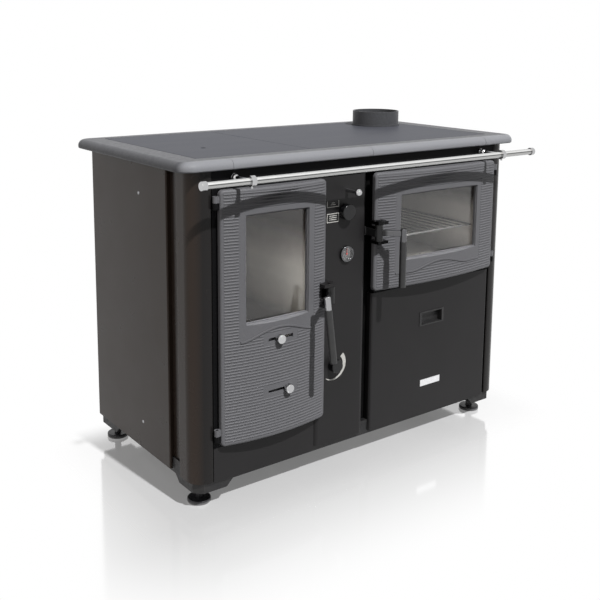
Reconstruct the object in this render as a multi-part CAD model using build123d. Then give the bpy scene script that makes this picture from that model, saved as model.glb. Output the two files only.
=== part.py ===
from build123d import *
import math
import os

# Wood-fired central-heating cookstove: enamelled steel case on levelling feet, cast iron rim
# and cooking plates on top, a bowed cast iron fire door at the left, a bowed oven door at the
# right with a fuel drawer under it, a control column between them and a towel rail in front.
# X runs along the front from left to right, -Y is the front, +Z is up. The origin is on the
# floor, under the middle of the overall width and depth. All sizes are in millimetres.

# ------------------------------------------------------------------ driving sizes

# Worktop
worktop_width = 1150
worktop_top = 875
rim_thickness = 24
rim_end_width = 72
rim_front_width = 62
rim_rear_width = 48
rim_corner_radius = 42
rim_top_rounding = 17
rim_bottom_rounding = 4
rim_ledge = 10
plate_thickness = 8
plate_gap = 2.5
seam_gap = 1
rim_seam_inset = 139
plate_seam_x = -160
worktop_front_overhang = 15
worktop_rear_overhang = 44

# Case
case_width = 1082
case_depth = 553
case_bottom = 73
sheet = 2
post_front_width = 53
post_side_depth = 79
post_corner_radius = 42
side_groove_width = 47
side_groove_depth = 12
door_bay_gap = 12
panel_return = 15
fold_radius = 3
seat_gap = 0.3
seat_clearance = 0.1

# Base frame and feet
base_bottom = 64
base_height = 40
base_inset = 8
base_flange = 30
base_wall = 3
base_clearance = 1
base_corner_clearance = 6
bracket_length = 105
bracket_slope = 18
bracket_bottom = 46
bracket_plate = 4
boss_radius = 12
boss_height = 8
foot_side_inset = 47
foot_front_inset = 64
foot_rear_inset = 22
foot_pad_radius = 30
foot_pad_height = 11
foot_stud_radius = 6
foot_stud_clearance = 3
foot_nut_radius = 10
foot_nut_height = 28
running_clearance = 0.05

# Layout along the front
door_top = 805
column_left = -178.5
column_right = -9.5
column_bottom = 82
column_forward = 4
column_return = 31
column_left_return = 11
fascia_depth = 8
plinth_depth = 10
fascia_set_back = 3
column_corner_radius = 14

# Doors
fire_door_right = -158
fire_door_bottom = 167
oven_door_left = 8
oven_door_bottom = 481
door_back_gap = 5
door_edge_forward = 17
door_crown_forward = 37
door_corner_radius = 12
door_edge_rounding = 6
door_wall = 8
door_side_wall = 9
window_top = 739
fire_window_bottom = 471
fire_window_width = 186
oven_window_bottom = 560
oven_window_width = 297
window_bevel = 5
window_corner_radius = 4
glass_thickness = 4
glass_overlap = 9
glass_depth = 12
glass_seat_width = 22
clip_size = 16
clip_thickness = 2
seal_inset_x = 30
seal_inset_z = 14
seal_width = 8
seal_squeeze_gap = 0.5
ridge_width = 4
ridge_height = 2.4
ridge_root = 2
fire_wave_low = 428
fire_wave_high = 452
oven_wave_low = 523
oven_wave_high = 542
wave_half = 100
window_band = 17
band_groove_width = 2
band_groove_depth = 1.2

# Door hinges
hinge_pin_radius = 4
hinge_knuckle_radius = 7
hinge_knuckle_height = 16
hinge_forward = 9
hinge_side_gap = 1
fire_hinge_low = 196
oven_hinge_low = 512
hinge_top_drop = 30

# Door latches
latch_pin_radius = 5
latch_pin_forward = 36
latch_pin_inset = 2
latch_height = 61
latch_ear = 8
latch_hub_radius = 11
latch_play = 0.5
latch_bracket_width = 26
striker_gap = 1
latch_notch_margin = 17
latch_arm_in = 46
latch_arm_out = 46
latch_arm_height = 16
latch_arm_width = 11
latch_tail_thickness = 5
latch_tail_height = 20
latch_tail_reach = 9
latch_pull_angle = 30
fire_latch_z = 505
oven_latch_z = 648
stub_radius = 8.5
stub_rise = 13
stub_drop = 21
grip_radius = 9.5
oven_grip_length = 125
fire_grip_length = 135
fire_grip_tilt = 10

# Air slides in the fire door
slot_width = 75
slot_height = 10
slot_centre_x = -312.5
upper_slot_z = 421
lower_slot_z = 286
upper_knob_rest_x = -318
lower_knob_rest_x = -292
slide_plate_lap = 2
slide_plate_thickness = 3
slide_seat_depth = 13
slide_guide = 3
knob_neck_radius = 4
knob_radius = 12
knob_thickness = 12
knob_face_gap = 2

# Controls on the column
control_x = -80
damper_z = 767
damper_rod_radius = 5
damper_knob_radius = 10
damper_knob_forward = 50
damper_push = 32
damper_disc_radius = 30
damper_port_radius = 24
damper_guide_back = 200
guide_thickness = 4
regulator_x = -86
regulator_z = 711
draught_x = -118
draught_z = 298
dial_knob_radius = 21
dial_knob_length = 20
dial_shaft_radius = 4
draught_knob_radius = 18
thermometer_z = 597
thermometer_radius = 21.5
thermometer_body_radius = 17
thermometer_forward = 8

# Fuel drawer
drawer_left = 16
drawer_front_top = 470
drawer_front_depth = 20
drawer_edge_radius = 8
drawer_box_height = 210
drawer_floor_gap = 4
drawer_box_depth = 410
drawer_travel = 330
drawer_side_clearance = 1
runner_width = 12
runner_height = 14
runner_z = 170
runner_wall_height = 40
runner_front_gap = 30
pull_width = 81
pull_height = 34
pull_rim = 8
pull_depth = 15
pull_z = 362
badge_width = 79
badge_height = 19
badge_thickness = 1.5
badge_z = 168

# Oven
oven_width = 372
oven_height = 258
oven_depth = 430
oven_floor = 512
rack_rise = 96
rack_rod = 6
rack_bars = 11

# Boiler and firebox
boiler_left = -485
boiler_right = -150
boiler_back_gap = 32
bearer_height = 35
grate_ledge = 12
pan_set_back = 26
pan_back_gap = 40
pan_side_gap = 3
pan_height = 95
pan_wall = 2
pan_lip = 14
pan_lip_width = 80
pan_lip_drop = 26
pan_lip_thickness = 4
jacket_gap = 30
jacket_plate = 5
ash_floor_height = 180
grate_z = 310
grate_thickness = 20
grate_bars = 13
brick_thickness = 24
brick_low_top = 373
brick_high_thickness = 14
brick_high_top = 800
fire_frame_thickness = 12
fire_opening_width = 226
fire_opening_bottom = 345
fire_opening_top = 775
ash_opening_bottom = 185
ash_opening_top = 300
flue_throat_bottom = 800
flue_throat_depth = 300

# Flue collar
flue_right_inset = 164
flue_back = 444
flue_radius = 75
flue_wall = 4
flue_height = 47
flue_flange_radius = 78
flue_flange_height = 5
flue_spigot = 14

# Water sockets in the boiler's back
socket_bore_radius = 16.6
socket_outer_radius = 22
socket_length = 24
pipe_hole_gap = 2
socket_x = -400
flow_z = 800
return_z = 200

# Towel rail
rail_half_length = 566
rail_radius = 8.5
rail_reach = 81
rail_z = 832
rail_cap_radius = 11
rail_cap_length = 14
rail_wall = 1.5
rail_bracket_x = 429
rail_boss_radius = 9
rail_arm_radius = 5
rail_ring_radius = 13
rail_ring_width = 13
rail_screw_radius = 2.5
rail_screw_reach = 4

# ------------------------------------------------------------------ places worked out

fire_grip_forward = latch_pin_forward + latch_arm_out + (stub_drop + fire_grip_length) * math.sin(
    math.radians(fire_grip_tilt)
)
front_reach = fire_grip_forward + grip_radius * math.cos(math.radians(fire_grip_tilt))
worktop_depth = worktop_front_overhang + case_depth + worktop_rear_overhang
overall_depth = front_reach - worktop_front_overhang + worktop_depth
case_front_y = front_reach - overall_depth / 2
case_back_y = case_front_y + case_depth
worktop_front_y = case_front_y - worktop_front_overhang
worktop_back_y = worktop_front_y + worktop_depth

rim_bottom = worktop_top - rim_thickness
rim_seam_x = worktop_width / 2 - rim_seam_inset
flue_x = worktop_width / 2 - flue_right_inset
boiler_depth = case_depth - fire_frame_thickness - boiler_back_gap
plate_bottom = worktop_top - plate_thickness
half_case = case_width / 2
post_inner = half_case - post_front_width
door_outer = post_inner - door_bay_gap
fire_door_left = -door_outer
oven_door_right = door_outer
fire_door_centre = (fire_door_left + fire_door_right) / 2
oven_door_centre = (oven_door_left + oven_door_right) / 2
drawer_right = post_inner - 4
drawer_centre = (drawer_left + drawer_right) / 2
base_top = base_bottom + base_height
drawer_box_floor = base_top + drawer_floor_gap
half_sheet = sheet / 2
frame_top = door_top + 1

parts = {}


def forward(distance):
    """Y of a place that lies a distance in front of the case's front plane."""
    return case_front_y - distance


def block(x0, x1, y0, y1, z0, z1):
    return Pos((x0 + x1) / 2, (y0 + y1) / 2, (z0 + z1) / 2) * Box(
        abs(x1 - x0), abs(y1 - y0), abs(z1 - z0)
    )


def rod_z(x, y, z0, z1, radius):
    return Pos(x, y, (z0 + z1) / 2) * Cylinder(radius, abs(z1 - z0))


def rod_y(x, z, y0, y1, radius):
    return Pos(x, (y0 + y1) / 2, z) * Rot(90, 0, 0) * Cylinder(radius, abs(y1 - y0))


def rod_x(y, z, x0, x1, radius):
    return Pos((x0 + x1) / 2, y, z) * Rot(0, 90, 0) * Cylinder(radius, abs(x1 - x0))


def prism_z(points, z0, z1):
    outline = make_face(Polyline(*points, close=True))
    return Pos(0, 0, z0) * extrude(outline, z1 - z0)


def folded_sheet(points, radii, z0, z1):
    """A sheet of even thickness, folded along a plan line that runs down its middle."""
    line = FilletPolyline(*points, radius=radii)
    return Pos(0, 0, z0) * extrude(trace(line, line_width=sheet), z1 - z0)


def mirror_x(shape):
    return mirror(shape, about=Plane.YZ)


# ------------------------------------------------------------------ base frame and feet

frame_outer = half_case - base_inset
frame_front_y = case_front_y + base_inset
frame_back_y = case_back_y - base_inset
foot_x = half_case - foot_side_inset
foot_front_y = case_front_y + foot_front_inset
foot_rear_y = case_back_y - foot_rear_inset
side_sheet_left = drawer_left + 8
side_sheet_right = post_inner - 12
beam_width = 30


base_corner_cut = 2 * (post_corner_radius + half_sheet - base_inset) - math.sqrt(2) * (
    post_corner_radius - half_sheet - base_corner_clearance
)


def base_ring(inset, z0, z1):
    """The base frame's plan outline, with its two front corners cut off behind the round posts."""
    x = frame_outer - inset
    front = frame_front_y + inset
    back = frame_back_y - inset
    cut = max(base_corner_cut - (2 - math.sqrt(2)) * inset, 1)
    outline = [
        (-x + cut, front),
        (x - cut, front),
        (x, front + cut),
        (x, back),
        (-x, back),
        (-x, front + cut),
    ]
    return prism_z(outline, z0, z1)


def foot_skirt(length, height):
    """One leg of a foot bracket's skirt, with its far end sloping up, along +X from the corner."""
    outline = [(0, 0), (length - bracket_slope, 0), (length, height), (0, height)]
    return Rot(90, 0, 0) * extrude(make_face(Polyline(*outline, close=True)), -base_wall)


def foot_bracket():
    """Foot bracket for the front right corner, with the corner itself at the origin."""
    height = base_bottom - bracket_bottom
    length = bracket_length
    plate = block(-length + bracket_slope, 0, 0, length - bracket_slope, 0, bracket_plate)
    front_skirt = mirror_x(foot_skirt(length, height))
    side_skirt = Rot(0, 0, 90) * foot_skirt(length, height)
    return plate + front_skirt + side_skirt


def box_part(shape, x0, x1, y0, y1):
    """The part of the frame ring inside a plan rectangle."""
    return (shape & block(x0, x1, y0, y1, base_bottom, base_top)).solid()


def make_base_frame():
    """Channel rails, corners and cross beams welded into a ring, with a bracket at each foot."""
    web = base_ring(0, base_bottom, base_top) - base_ring(base_wall, base_bottom, base_top)
    lower = base_ring(0, base_bottom, base_bottom + base_wall)
    lower -= base_ring(base_flange, base_bottom, base_bottom + base_wall)
    upper = base_ring(0, base_top - base_wall, base_top)
    upper -= base_ring(base_flange, base_top - base_wall, base_top)
    ring = web + lower + upper
    rail_x = frame_outer - base_flange
    stud_x = foot_x - foot_stud_radius - foot_stud_clearance
    front_inner = frame_front_y + base_flange
    back_inner = frame_back_y - base_flange
    members = [
        box_part(ring, -rail_x, rail_x, frame_front_y, front_inner),
        box_part(ring, -stud_x, stud_x, back_inner, frame_back_y),
    ]
    for x in (boiler_left + beam_width, boiler_right - beam_width, side_sheet_left, side_sheet_right):
        half = beam_width / 2
        beam = block(x - half, x + half, front_inner, back_inner, base_bottom, base_top)
        stud_side = math.copysign(foot_x, x)
        stud_room = foot_stud_radius + foot_stud_clearance
        beam -= rod_z(stud_side, foot_front_y, base_bottom - 1, base_top + 1, stud_room)
        members.append(beam.solid())
    for side in (-1, 1):
        x0, x1 = sorted((side * rail_x, side * frame_outer))
        members.append(box_part(ring, x0, x1, frame_front_y, front_inner))
        members.append(box_part(ring, x0, x1, front_inner, frame_back_y))
        x0, x1 = sorted((side * stud_x, side * rail_x))
        members.append(box_part(ring, x0, x1, frame_back_y - base_wall, frame_back_y))
    front_right = Pos(frame_outer, frame_front_y, bracket_bottom) * foot_bracket()
    front_right &= base_ring(0, bracket_bottom, base_bottom)
    corner_skirt = base_ring(0, bracket_bottom, base_bottom)
    corner_skirt -= base_ring(base_wall, bracket_bottom, base_bottom)
    front_right += corner_skirt & block(
        frame_outer - base_flange,
        frame_outer,
        frame_front_y,
        frame_front_y + base_flange,
        bracket_bottom,
        base_bottom,
    )
    rear_right = Pos(frame_outer, frame_front_y, bracket_bottom) * foot_bracket()
    rear_right = mirror(rear_right, about=Plane.XZ.offset(-(frame_front_y + frame_back_y) / 2))
    boss_top = bracket_bottom + bracket_plate + boss_height
    bore = foot_stud_radius + running_clearance
    for bracket, y in ((front_right, foot_front_y), (rear_right, foot_rear_y)):
        bracket += rod_z(foot_x, y, bracket_bottom, boss_top, boss_radius)
        bracket -= rod_z(foot_x, y, bracket_bottom - 1, boss_top + 1, bore)
        members += [bracket.solid(), mirror_x(bracket).solid()]
    return Compound(children=members)


def clear_of_base(shape):
    """Takes away what would run into the base frame, which the case's sheets hang in front of."""
    return shape - base_ring(-base_clearance, 0, base_top + base_clearance)


def make_foot(x, y):
    pad = rod_z(x, y, 0, foot_pad_height, foot_pad_radius)
    pad = fillet(pad.edges().filter_by(GeomType.CIRCLE), 3)
    nut_top = foot_pad_height + foot_nut_height
    nut = extrude(RegularPolygon(foot_nut_radius, 6), foot_nut_height)
    stud = rod_z(x, y, foot_pad_height - 2, base_top - 8, foot_stud_radius)
    return pad + Pos(x, y, foot_pad_height) * nut + stud


parts["base_frame"] = make_base_frame()
parts["foot_front_left"] = make_foot(-foot_x, foot_front_y)
parts["foot_front_right"] = make_foot(foot_x, foot_front_y)
parts["foot_rear_left"] = make_foot(-foot_x, foot_rear_y)
parts["foot_rear_right"] = make_foot(foot_x, foot_rear_y)

# ------------------------------------------------------------------ outer case


def make_corner_post():
    """The right-hand post: a folded sheet with a rounded corner and a recessed rear strip."""
    face = half_case - half_sheet
    recessed = face - side_groove_depth
    front = case_front_y + half_sheet
    joggle = case_front_y + post_side_depth
    points = (
        (post_inner + half_sheet, case_front_y + drawer_front_depth),
        (post_inner + half_sheet, front),
        (face, front),
        (face, joggle - half_sheet),
        (recessed, joggle - half_sheet),
        (recessed, joggle + side_groove_width + panel_return),
    )
    radii = [fold_radius, post_corner_radius, fold_radius, fold_radius]
    return clear_of_base(folded_sheet(points, radii, case_bottom, rim_bottom))


def make_side_panel():
    """The right-hand side panel: front edge folded in on to the recessed strip, rear edge folded."""
    face = half_case - half_sheet
    front = case_front_y + post_side_depth + side_groove_width + half_sheet
    points = (
        (face - side_groove_depth + half_sheet + seat_gap, front),
        (face, front),
        (face, case_back_y - half_sheet),
        (face - panel_return, case_back_y - half_sheet),
    )
    radii = [fold_radius, fold_radius]
    return clear_of_base(folded_sheet(points, radii, case_bottom, rim_bottom))


def make_column():
    front = forward(column_forward) + half_sheet
    points = (
        (column_left + half_sheet, front + column_left_return + half_sheet),
        (column_left + half_sheet, front),
        (column_right - half_sheet, front),
        (column_right - half_sheet, front + column_return),
    )
    radii = [min(column_corner_radius, column_left_return), column_corner_radius]
    column = clear_of_base(folded_sheet(points, radii, column_bottom, frame_top))
    back = front + column_return
    for x, z, radius in (
        (control_x, damper_z, damper_rod_radius + running_clearance),
        (regulator_x, regulator_z, dial_shaft_radius + running_clearance),
        (draught_x, draught_z, dial_shaft_radius + running_clearance),
        (control_x, thermometer_z, thermometer_body_radius + running_clearance),
    ):
        column -= rod_y(x, z, front - sheet, back, radius)
    notch_half = latch_tail_height / 2 + latch_notch_margin
    column -= block(
        column_left - 1,
        latch_sweep_right,
        front - sheet,
        back,
        fire_latch_z - notch_half,
        fire_latch_z + notch_half,
    )
    lengths = (
        (column_left, latch_sweep_right, column_bottom, fire_latch_z),
        (column_left, latch_sweep_right, fire_latch_z, frame_top),
        (latch_sweep_right, column_right, column_bottom, frame_top),
    )
    strips = [(column & block(x0, x1, front - sheet, back + sheet, z0, z1)).solid() for x0, x1, z0, z1 in lengths]
    return Compound(children=strips)


fire_pin_x = fire_door_right + latch_pin_inset
oven_pin_x = oven_door_left - latch_pin_inset
tail_outer = latch_hub_radius + 2
latch_sweep_right = fire_pin_x + tail_outer + 2.5

right_post = make_corner_post()
parts["right_corner_post"] = right_post
parts["left_corner_post"] = mirror_x(right_post)
right_panel = make_side_panel()
parts["right_side_panel"] = right_panel
parts["left_side_panel"] = mirror_x(right_panel)
parts["centre_column"] = make_column()

plinth_top = fire_door_bottom - 7
plinth = block(
    -post_inner, column_left, case_front_y, case_front_y + plinth_depth, case_bottom, plinth_top
)
plinth -= block(
    -post_inner + sheet,
    column_left - sheet,
    case_front_y + sheet,
    case_front_y + plinth_depth,
    case_bottom,
    plinth_top - sheet,
)
parts["plinth_panel"] = clear_of_base(plinth)

fascia_y = forward(-fascia_set_back)
fascia = block(-post_inner, post_inner, fascia_y, fascia_y + fascia_depth, frame_top, rim_bottom)
fascia -= block(
    -post_inner,
    post_inner,
    fascia_y + sheet,
    fascia_y + fascia_depth,
    frame_top + sheet,
    rim_bottom - sheet,
)
parts["fascia_panel"] = fascia

back_inner_y = case_back_y - 2 * sheet
pipe_hole = socket_outer_radius + pipe_hole_gap
back_left = -half_case + sheet + fold_radius


def back_plate(x0, x1, z0, z1):
    """One flat plate of the back, which is made up round the two square pipe holes."""
    return block(x0, x1, back_inner_y, back_inner_y + sheet, z0, z1).solid()


back_plates = [back_plate(socket_x + pipe_hole, -back_left, case_bottom, rim_bottom)]
strip_levels = [case_bottom]
for z in (return_z, flow_z):
    strip_levels += [z - pipe_hole, z + pipe_hole]
strip_levels.append(rim_bottom)
for index, (z0, z1) in enumerate(zip(strip_levels, strip_levels[1:])):
    strip_right = socket_x + pipe_hole if index % 2 == 0 else socket_x - pipe_hole
    back_plates.append(back_plate(back_left, strip_right, z0, z1))
parts["back_panel"] = Compound(children=back_plates)

# ------------------------------------------------------------------ worktop rim and plates

plates_half = worktop_width / 2 - rim_end_width
plates_front_y = worktop_front_y + rim_front_width
plates_back_y = worktop_back_y - rim_rear_width
worktop_middle_y = (worktop_front_y + worktop_back_y) / 2


def make_rim():
    outline = RectangleRounded(worktop_width, worktop_depth, rim_corner_radius)
    rim = Pos(0, worktop_middle_y, rim_bottom) * extrude(outline, rim_thickness)
    top_edges = rim.edges().group_by(Axis.Z)[-1]
    rim = fillet(top_edges, rim_top_rounding)
    bottom_edges = rim.edges().group_by(Axis.Z)[0]
    rim = fillet(bottom_edges, rim_bottom_rounding)
    rim -= block(
        -plates_half,
        plates_half,
        plates_front_y,
        plates_back_y,
        plate_bottom,
        worktop_top + 1,
    )
    rim -= block(
        -plates_half + rim_ledge,
        plates_half - rim_ledge,
        plates_front_y + rim_ledge,
        plates_back_y - rim_ledge,
        rim_bottom - 1,
        worktop_top,
    )
    return rim


rim = make_rim()
half_seam = seam_gap / 2
rim_end = rim & block(
    rim_seam_x + half_seam, worktop_width, worktop_front_y - 1, worktop_back_y + 1, 0, worktop_top + 1
)
parts["rim_right_end"] = rim_end
parts["rim_left_end"] = mirror_x(rim_end)
rim_bars = []
for x0, x1 in ((-rim_seam_x + half_seam, -half_seam), (half_seam, rim_seam_x - half_seam)):
    for y0, y1 in (
        (worktop_front_y - 1, worktop_middle_y),
        (worktop_middle_y, worktop_back_y + 1),
    ):
        rim_bars.append(rim & block(x0, x1, y0, y1, 0, worktop_top + 1))
parts["rim_bars"] = Compound(children=[bar.solid() for bar in rim_bars])


def cooking_plate(x0, x1):
    plate = block(
        x0,
        x1,
        plates_front_y + plate_gap,
        plates_back_y - plate_gap,
        plate_bottom,
        worktop_top,
    )
    return chamfer(plate.edges().group_by(Axis.Z)[-1], 0.8)


flue_y = case_front_y + flue_back
left_plate = cooking_plate(-plates_half + plate_gap, plate_seam_x - half_seam)
lift_hole_x = -382
lift_hole_back = 216
left_plate -= rod_z(lift_hole_x, case_front_y + lift_hole_back, plate_bottom - 1, worktop_top + 1, 7)
parts["hotplate_left"] = left_plate
right_plate = cooking_plate(plate_seam_x + half_seam, plates_half - plate_gap)
right_plate -= rod_z(flue_x, flue_y, plate_bottom - 1, worktop_top + 1, flue_radius + 0.5)
parts["hotplate_right"] = right_plate

collar_top = worktop_top + flue_height
collar = rod_z(flue_x, flue_y, plate_bottom - flue_spigot, collar_top, flue_radius)
collar += rod_z(flue_x, flue_y, worktop_top, worktop_top + flue_flange_height, flue_flange_radius)
collar -= rod_z(
    flue_x, flue_y, plate_bottom - flue_spigot - 1, collar_top + 1, flue_radius - flue_wall
)
parts["flue_collar"] = collar

# ------------------------------------------------------------------ boiler, firebox and ash pan

boiler_front_y = case_front_y + fire_frame_thickness
boiler_back_y = boiler_front_y + boiler_depth
jacket = jacket_gap + 2 * jacket_plate
boiler_bottom = base_top + bearer_height
boiler_top = rim_bottom
cavity_left = boiler_left + jacket
cavity_right = boiler_right - jacket
cavity_back_y = boiler_back_y - jacket


def boiler_walls(left, right, back, bottom):
    """The left, right, back and bottom plates of one shell of the jacket."""
    front = boiler_front_y
    return [
        block(left, left + jacket_plate, front, back, bottom, boiler_top),
        block(right - jacket_plate, right, front, back, bottom, boiler_top),
        block(left + jacket_plate, right - jacket_plate, back - jacket_plate, back, bottom, boiler_top),
        block(
            left + jacket_plate,
            right - jacket_plate,
            front,
            back - jacket_plate,
            bottom,
            bottom + jacket_plate,
        ),
    ]


def make_boiler():
    """A welded water jacket: an outer and an inner shell of plates, closed at the front and the top."""
    plate = jacket_plate
    gap_left = boiler_left + plate
    gap_right = boiler_right - plate
    gap_back_y = boiler_back_y - plate
    gap_bottom = boiler_bottom + plate
    throat_front_y = boiler_front_y + (boiler_depth - jacket - flue_throat_depth) / 2
    throat_back_y = throat_front_y + flue_throat_depth
    throat = block(
        cavity_right - plate, boiler_right + 1, throat_front_y, throat_back_y, flue_throat_bottom, boiler_top + 1
    )
    outer = boiler_walls(boiler_left, boiler_right, boiler_back_y, boiler_bottom)
    inner = boiler_walls(
        cavity_left - plate, cavity_right + plate, cavity_back_y + plate, ash_floor_height - plate
    )
    outer[1] -= throat
    inner[1] -= throat
    for z in (flow_z, return_z):
        outer[2] -= rod_y(socket_x, z, gap_back_y - 1, boiler_back_y + 1, socket_bore_radius)
    plates = outer + inner
    front_y = boiler_front_y
    face_y = boiler_front_y + plate
    cap = boiler_top - plate
    low = ash_floor_height - plate
    plates += [
        block(gap_left, cavity_left - plate, front_y, face_y, gap_bottom, boiler_top),
        block(cavity_right + plate, gap_right, front_y, face_y, gap_bottom, boiler_top),
        block(cavity_left - plate, cavity_right + plate, front_y, face_y, gap_bottom, low),
        block(gap_left, cavity_left - plate, face_y, gap_back_y, cap, boiler_top),
        block(cavity_left - plate, cavity_right + plate, cavity_back_y + plate, gap_back_y, cap, boiler_top),
        block(cavity_right + plate, gap_right, face_y, throat_front_y - plate, cap, boiler_top),
        block(cavity_right + plate, gap_right, throat_back_y + plate, gap_back_y, cap, boiler_top),
    ]
    for y in (throat_front_y - plate, throat_back_y):
        plates.append(
            block(cavity_right + plate, gap_right, y, y + plate, flue_throat_bottom - plate, boiler_top)
        )
    plates.append(
        block(
            cavity_right + plate,
            gap_right,
            throat_front_y,
            throat_back_y,
            flue_throat_bottom - plate,
            flue_throat_bottom,
        )
    )
    for x0, x1 in ((cavity_left, cavity_left + grate_ledge), (cavity_right - grate_ledge, cavity_right)):
        plates.append(block(x0, x1, front_y, cavity_back_y, grate_z - grate_ledge, grate_z))
    for x in (boiler_left + beam_width, boiler_right - beam_width):
        plates.append(
            block(
                x - beam_width / 2,
                x + beam_width / 2,
                boiler_front_y + beam_width,
                boiler_back_y - beam_width,
                base_top,
                boiler_bottom,
            )
        )
    return Compound(children=[piece.solid() for piece in plates])


parts["boiler_shell"] = make_boiler()

socket_end_y = boiler_back_y + socket_length
sockets = []
for z in (flow_z, return_z):
    socket = rod_y(socket_x, z, boiler_back_y, socket_end_y, socket_outer_radius)
    socket -= rod_y(socket_x, z, boiler_back_y - 1, socket_end_y + 1, socket_bore_radius)
    sockets.append(socket.solid())
parts["water_sockets"] = Compound(children=sockets)

grate_left = cavity_left + 1
grate_right = cavity_right - 1
grate_back_y = cavity_back_y - 1
grate_front_y = boiler_front_y + 1
grate = block(grate_left, grate_right, grate_front_y, grate_back_y, grate_z, grate_z + grate_thickness)
slot_field = (grate_right - grate_left) - 2 * brick_thickness - 12
slot_pitch = slot_field / grate_bars
for index in range(grate_bars):
    slot_x = grate_left + brick_thickness + 6 + slot_pitch * (index + 0.5)
    grate -= block(
        slot_x - slot_pitch * 0.28,
        slot_x + slot_pitch * 0.28,
        grate_front_y + 2 * brick_thickness,
        grate_back_y - 2 * brick_thickness,
        grate_z - 1,
        grate_z + grate_thickness + 1,
    )
parts["fire_grate"] = grate

brick_bottom = grate_z + grate_thickness
bricks = []
for low, high, thickness in (
    (brick_bottom, brick_low_top, brick_thickness),
    (brick_low_top, brick_high_top, brick_high_thickness),
):
    throat_side = flue_throat_bottom if high > flue_throat_bottom else high
    bricks.append(block(cavity_left, cavity_left + thickness, grate_front_y, cavity_back_y, low, high))
    bricks.append(
        block(cavity_right - thickness, cavity_right, grate_front_y, cavity_back_y, low, throat_side)
    )
    bricks.append(
        block(
            cavity_left + thickness,
            cavity_right - thickness,
            cavity_back_y - thickness,
            cavity_back_y,
            low,
            high,
        )
    )
parts["firebox_lining"] = Compound(children=[brick.solid() for brick in bricks])

fire_opening_left = fire_door_centre - fire_opening_width / 2
fire_opening_right = fire_door_centre + fire_opening_width / 2

pan_left = fire_opening_left + pan_side_gap
pan_right = fire_opening_right - pan_side_gap
pan_front_y = boiler_front_y + pan_set_back
pan_back_y = cavity_back_y - pan_back_gap
pan_top = ash_floor_height + pan_height
ash_pan = block(pan_left, pan_right, pan_front_y, pan_back_y, ash_floor_height, pan_top)
ash_pan -= block(
    pan_left + pan_wall,
    pan_right - pan_wall,
    pan_front_y + pan_wall,
    pan_back_y - pan_wall,
    ash_floor_height + pan_wall,
    pan_top + 1,
)
pan_lip_y = pan_front_y - pan_lip
ash_pan += block(
    fire_door_centre - pan_lip_width / 2,
    fire_door_centre + pan_lip_width / 2,
    pan_lip_y,
    pan_front_y,
    pan_top - pan_lip_drop - pan_lip_thickness,
    pan_top - pan_lip_drop,
)
parts["ash_pan"] = ash_pan


def hinge_lug(side, axis_x, z):
    """Fixed half of a hinge: an arm out of the front frame, a knuckle and its upright pin."""
    axis_y = forward(hinge_forward)
    low = z - hinge_knuckle_height
    arm = block(
        axis_x - side * 3,
        axis_x + side * (hinge_knuckle_radius - 1),
        axis_y,
        case_front_y + sheet,
        low,
        z,
    )
    knuckle = rod_z(axis_x, axis_y, low, z, hinge_knuckle_radius)
    pin = rod_z(axis_x, axis_y, z, z + hinge_knuckle_height - 1, hinge_pin_radius)
    return arm + knuckle + pin


hinge_axis_y = forward(hinge_forward)
fire_hinge_x = fire_door_left - hinge_knuckle_radius - hinge_side_gap
oven_hinge_x = oven_door_right + hinge_knuckle_radius + hinge_side_gap
hinge_high = door_top - hinge_top_drop

fire_frame_right = column_left - 1.5
fire_frame = block(
    -post_inner, fire_frame_right, case_front_y, boiler_front_y, plinth_top, frame_top
)
fire_frame -= block(
    fire_opening_left,
    fire_opening_right,
    case_front_y - 1,
    boiler_front_y + 1,
    fire_opening_bottom,
    fire_opening_top,
)
fire_frame -= block(
    fire_opening_left,
    fire_opening_right,
    case_front_y - 1,
    boiler_front_y + 1,
    ash_opening_bottom,
    ash_opening_top,
)
for z in (fire_hinge_low, hinge_high):
    fire_frame += hinge_lug(1, fire_hinge_x, z)
parts["firebox_front_frame"] = fire_frame

# ------------------------------------------------------------------ oven and its carcass

oven_left = oven_door_centre - oven_width / 2
oven_right = oven_door_centre + oven_width / 2
oven_top = oven_floor + oven_height
oven_front_y = case_front_y + sheet
carcass_front_bottom = drawer_front_top + 2
carcass_side_top = rim_bottom - 6
guide_y = case_front_y + damper_guide_back


def make_carcass():
    """Folded steel carcass: oven front, two side sheets, oven shelf and the damper rod's guide."""
    front = block(
        side_sheet_left, post_inner, case_front_y, oven_front_y, carcass_front_bottom, frame_top
    )
    front -= block(
        oven_left, oven_right, case_front_y - 1, oven_front_y + 1, oven_floor, oven_top
    )
    side_y = case_front_y + drawer_front_depth + 3
    carcass = front
    for x0 in (side_sheet_left, side_sheet_right):
        carcass += block(x0, x0 + sheet, side_y, back_inner_y, base_top, carcass_side_top)
        carcass += block(x0, x0 + sheet, oven_front_y, side_y, carcass_front_bottom, frame_top)
    carcass += block(
        column_right, side_sheet_left, side_y, side_y + sheet, base_top, frame_top
    )
    carcass += block(
        side_sheet_left + sheet,
        side_sheet_right,
        oven_front_y,
        oven_front_y + oven_depth,
        oven_floor - 2 * sheet,
        oven_floor - sheet,
    )
    guide = block(
        control_x - damper_port_radius - 40,
        side_sheet_left,
        guide_y,
        guide_y + guide_thickness,
        damper_z - 45,
        damper_z + 30,
    )
    guide -= rod_y(control_x, damper_z, guide_y - 1, guide_y + guide_thickness + 1, damper_rod_radius + running_clearance)
    for angle in (45, 135, 225, 315):
        port_x = control_x + 15 * math.cos(math.radians(angle))
        port_z = damper_z + 15 * math.sin(math.radians(angle))
        guide -= rod_y(port_x, port_z, guide_y - 1, guide_y + guide_thickness + 1, 7)
    carcass += guide
    for z in (oven_hinge_low, hinge_high):
        carcass += hinge_lug(-1, oven_hinge_x, z)
    return carcass


parts["oven_carcass"] = make_carcass()


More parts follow.
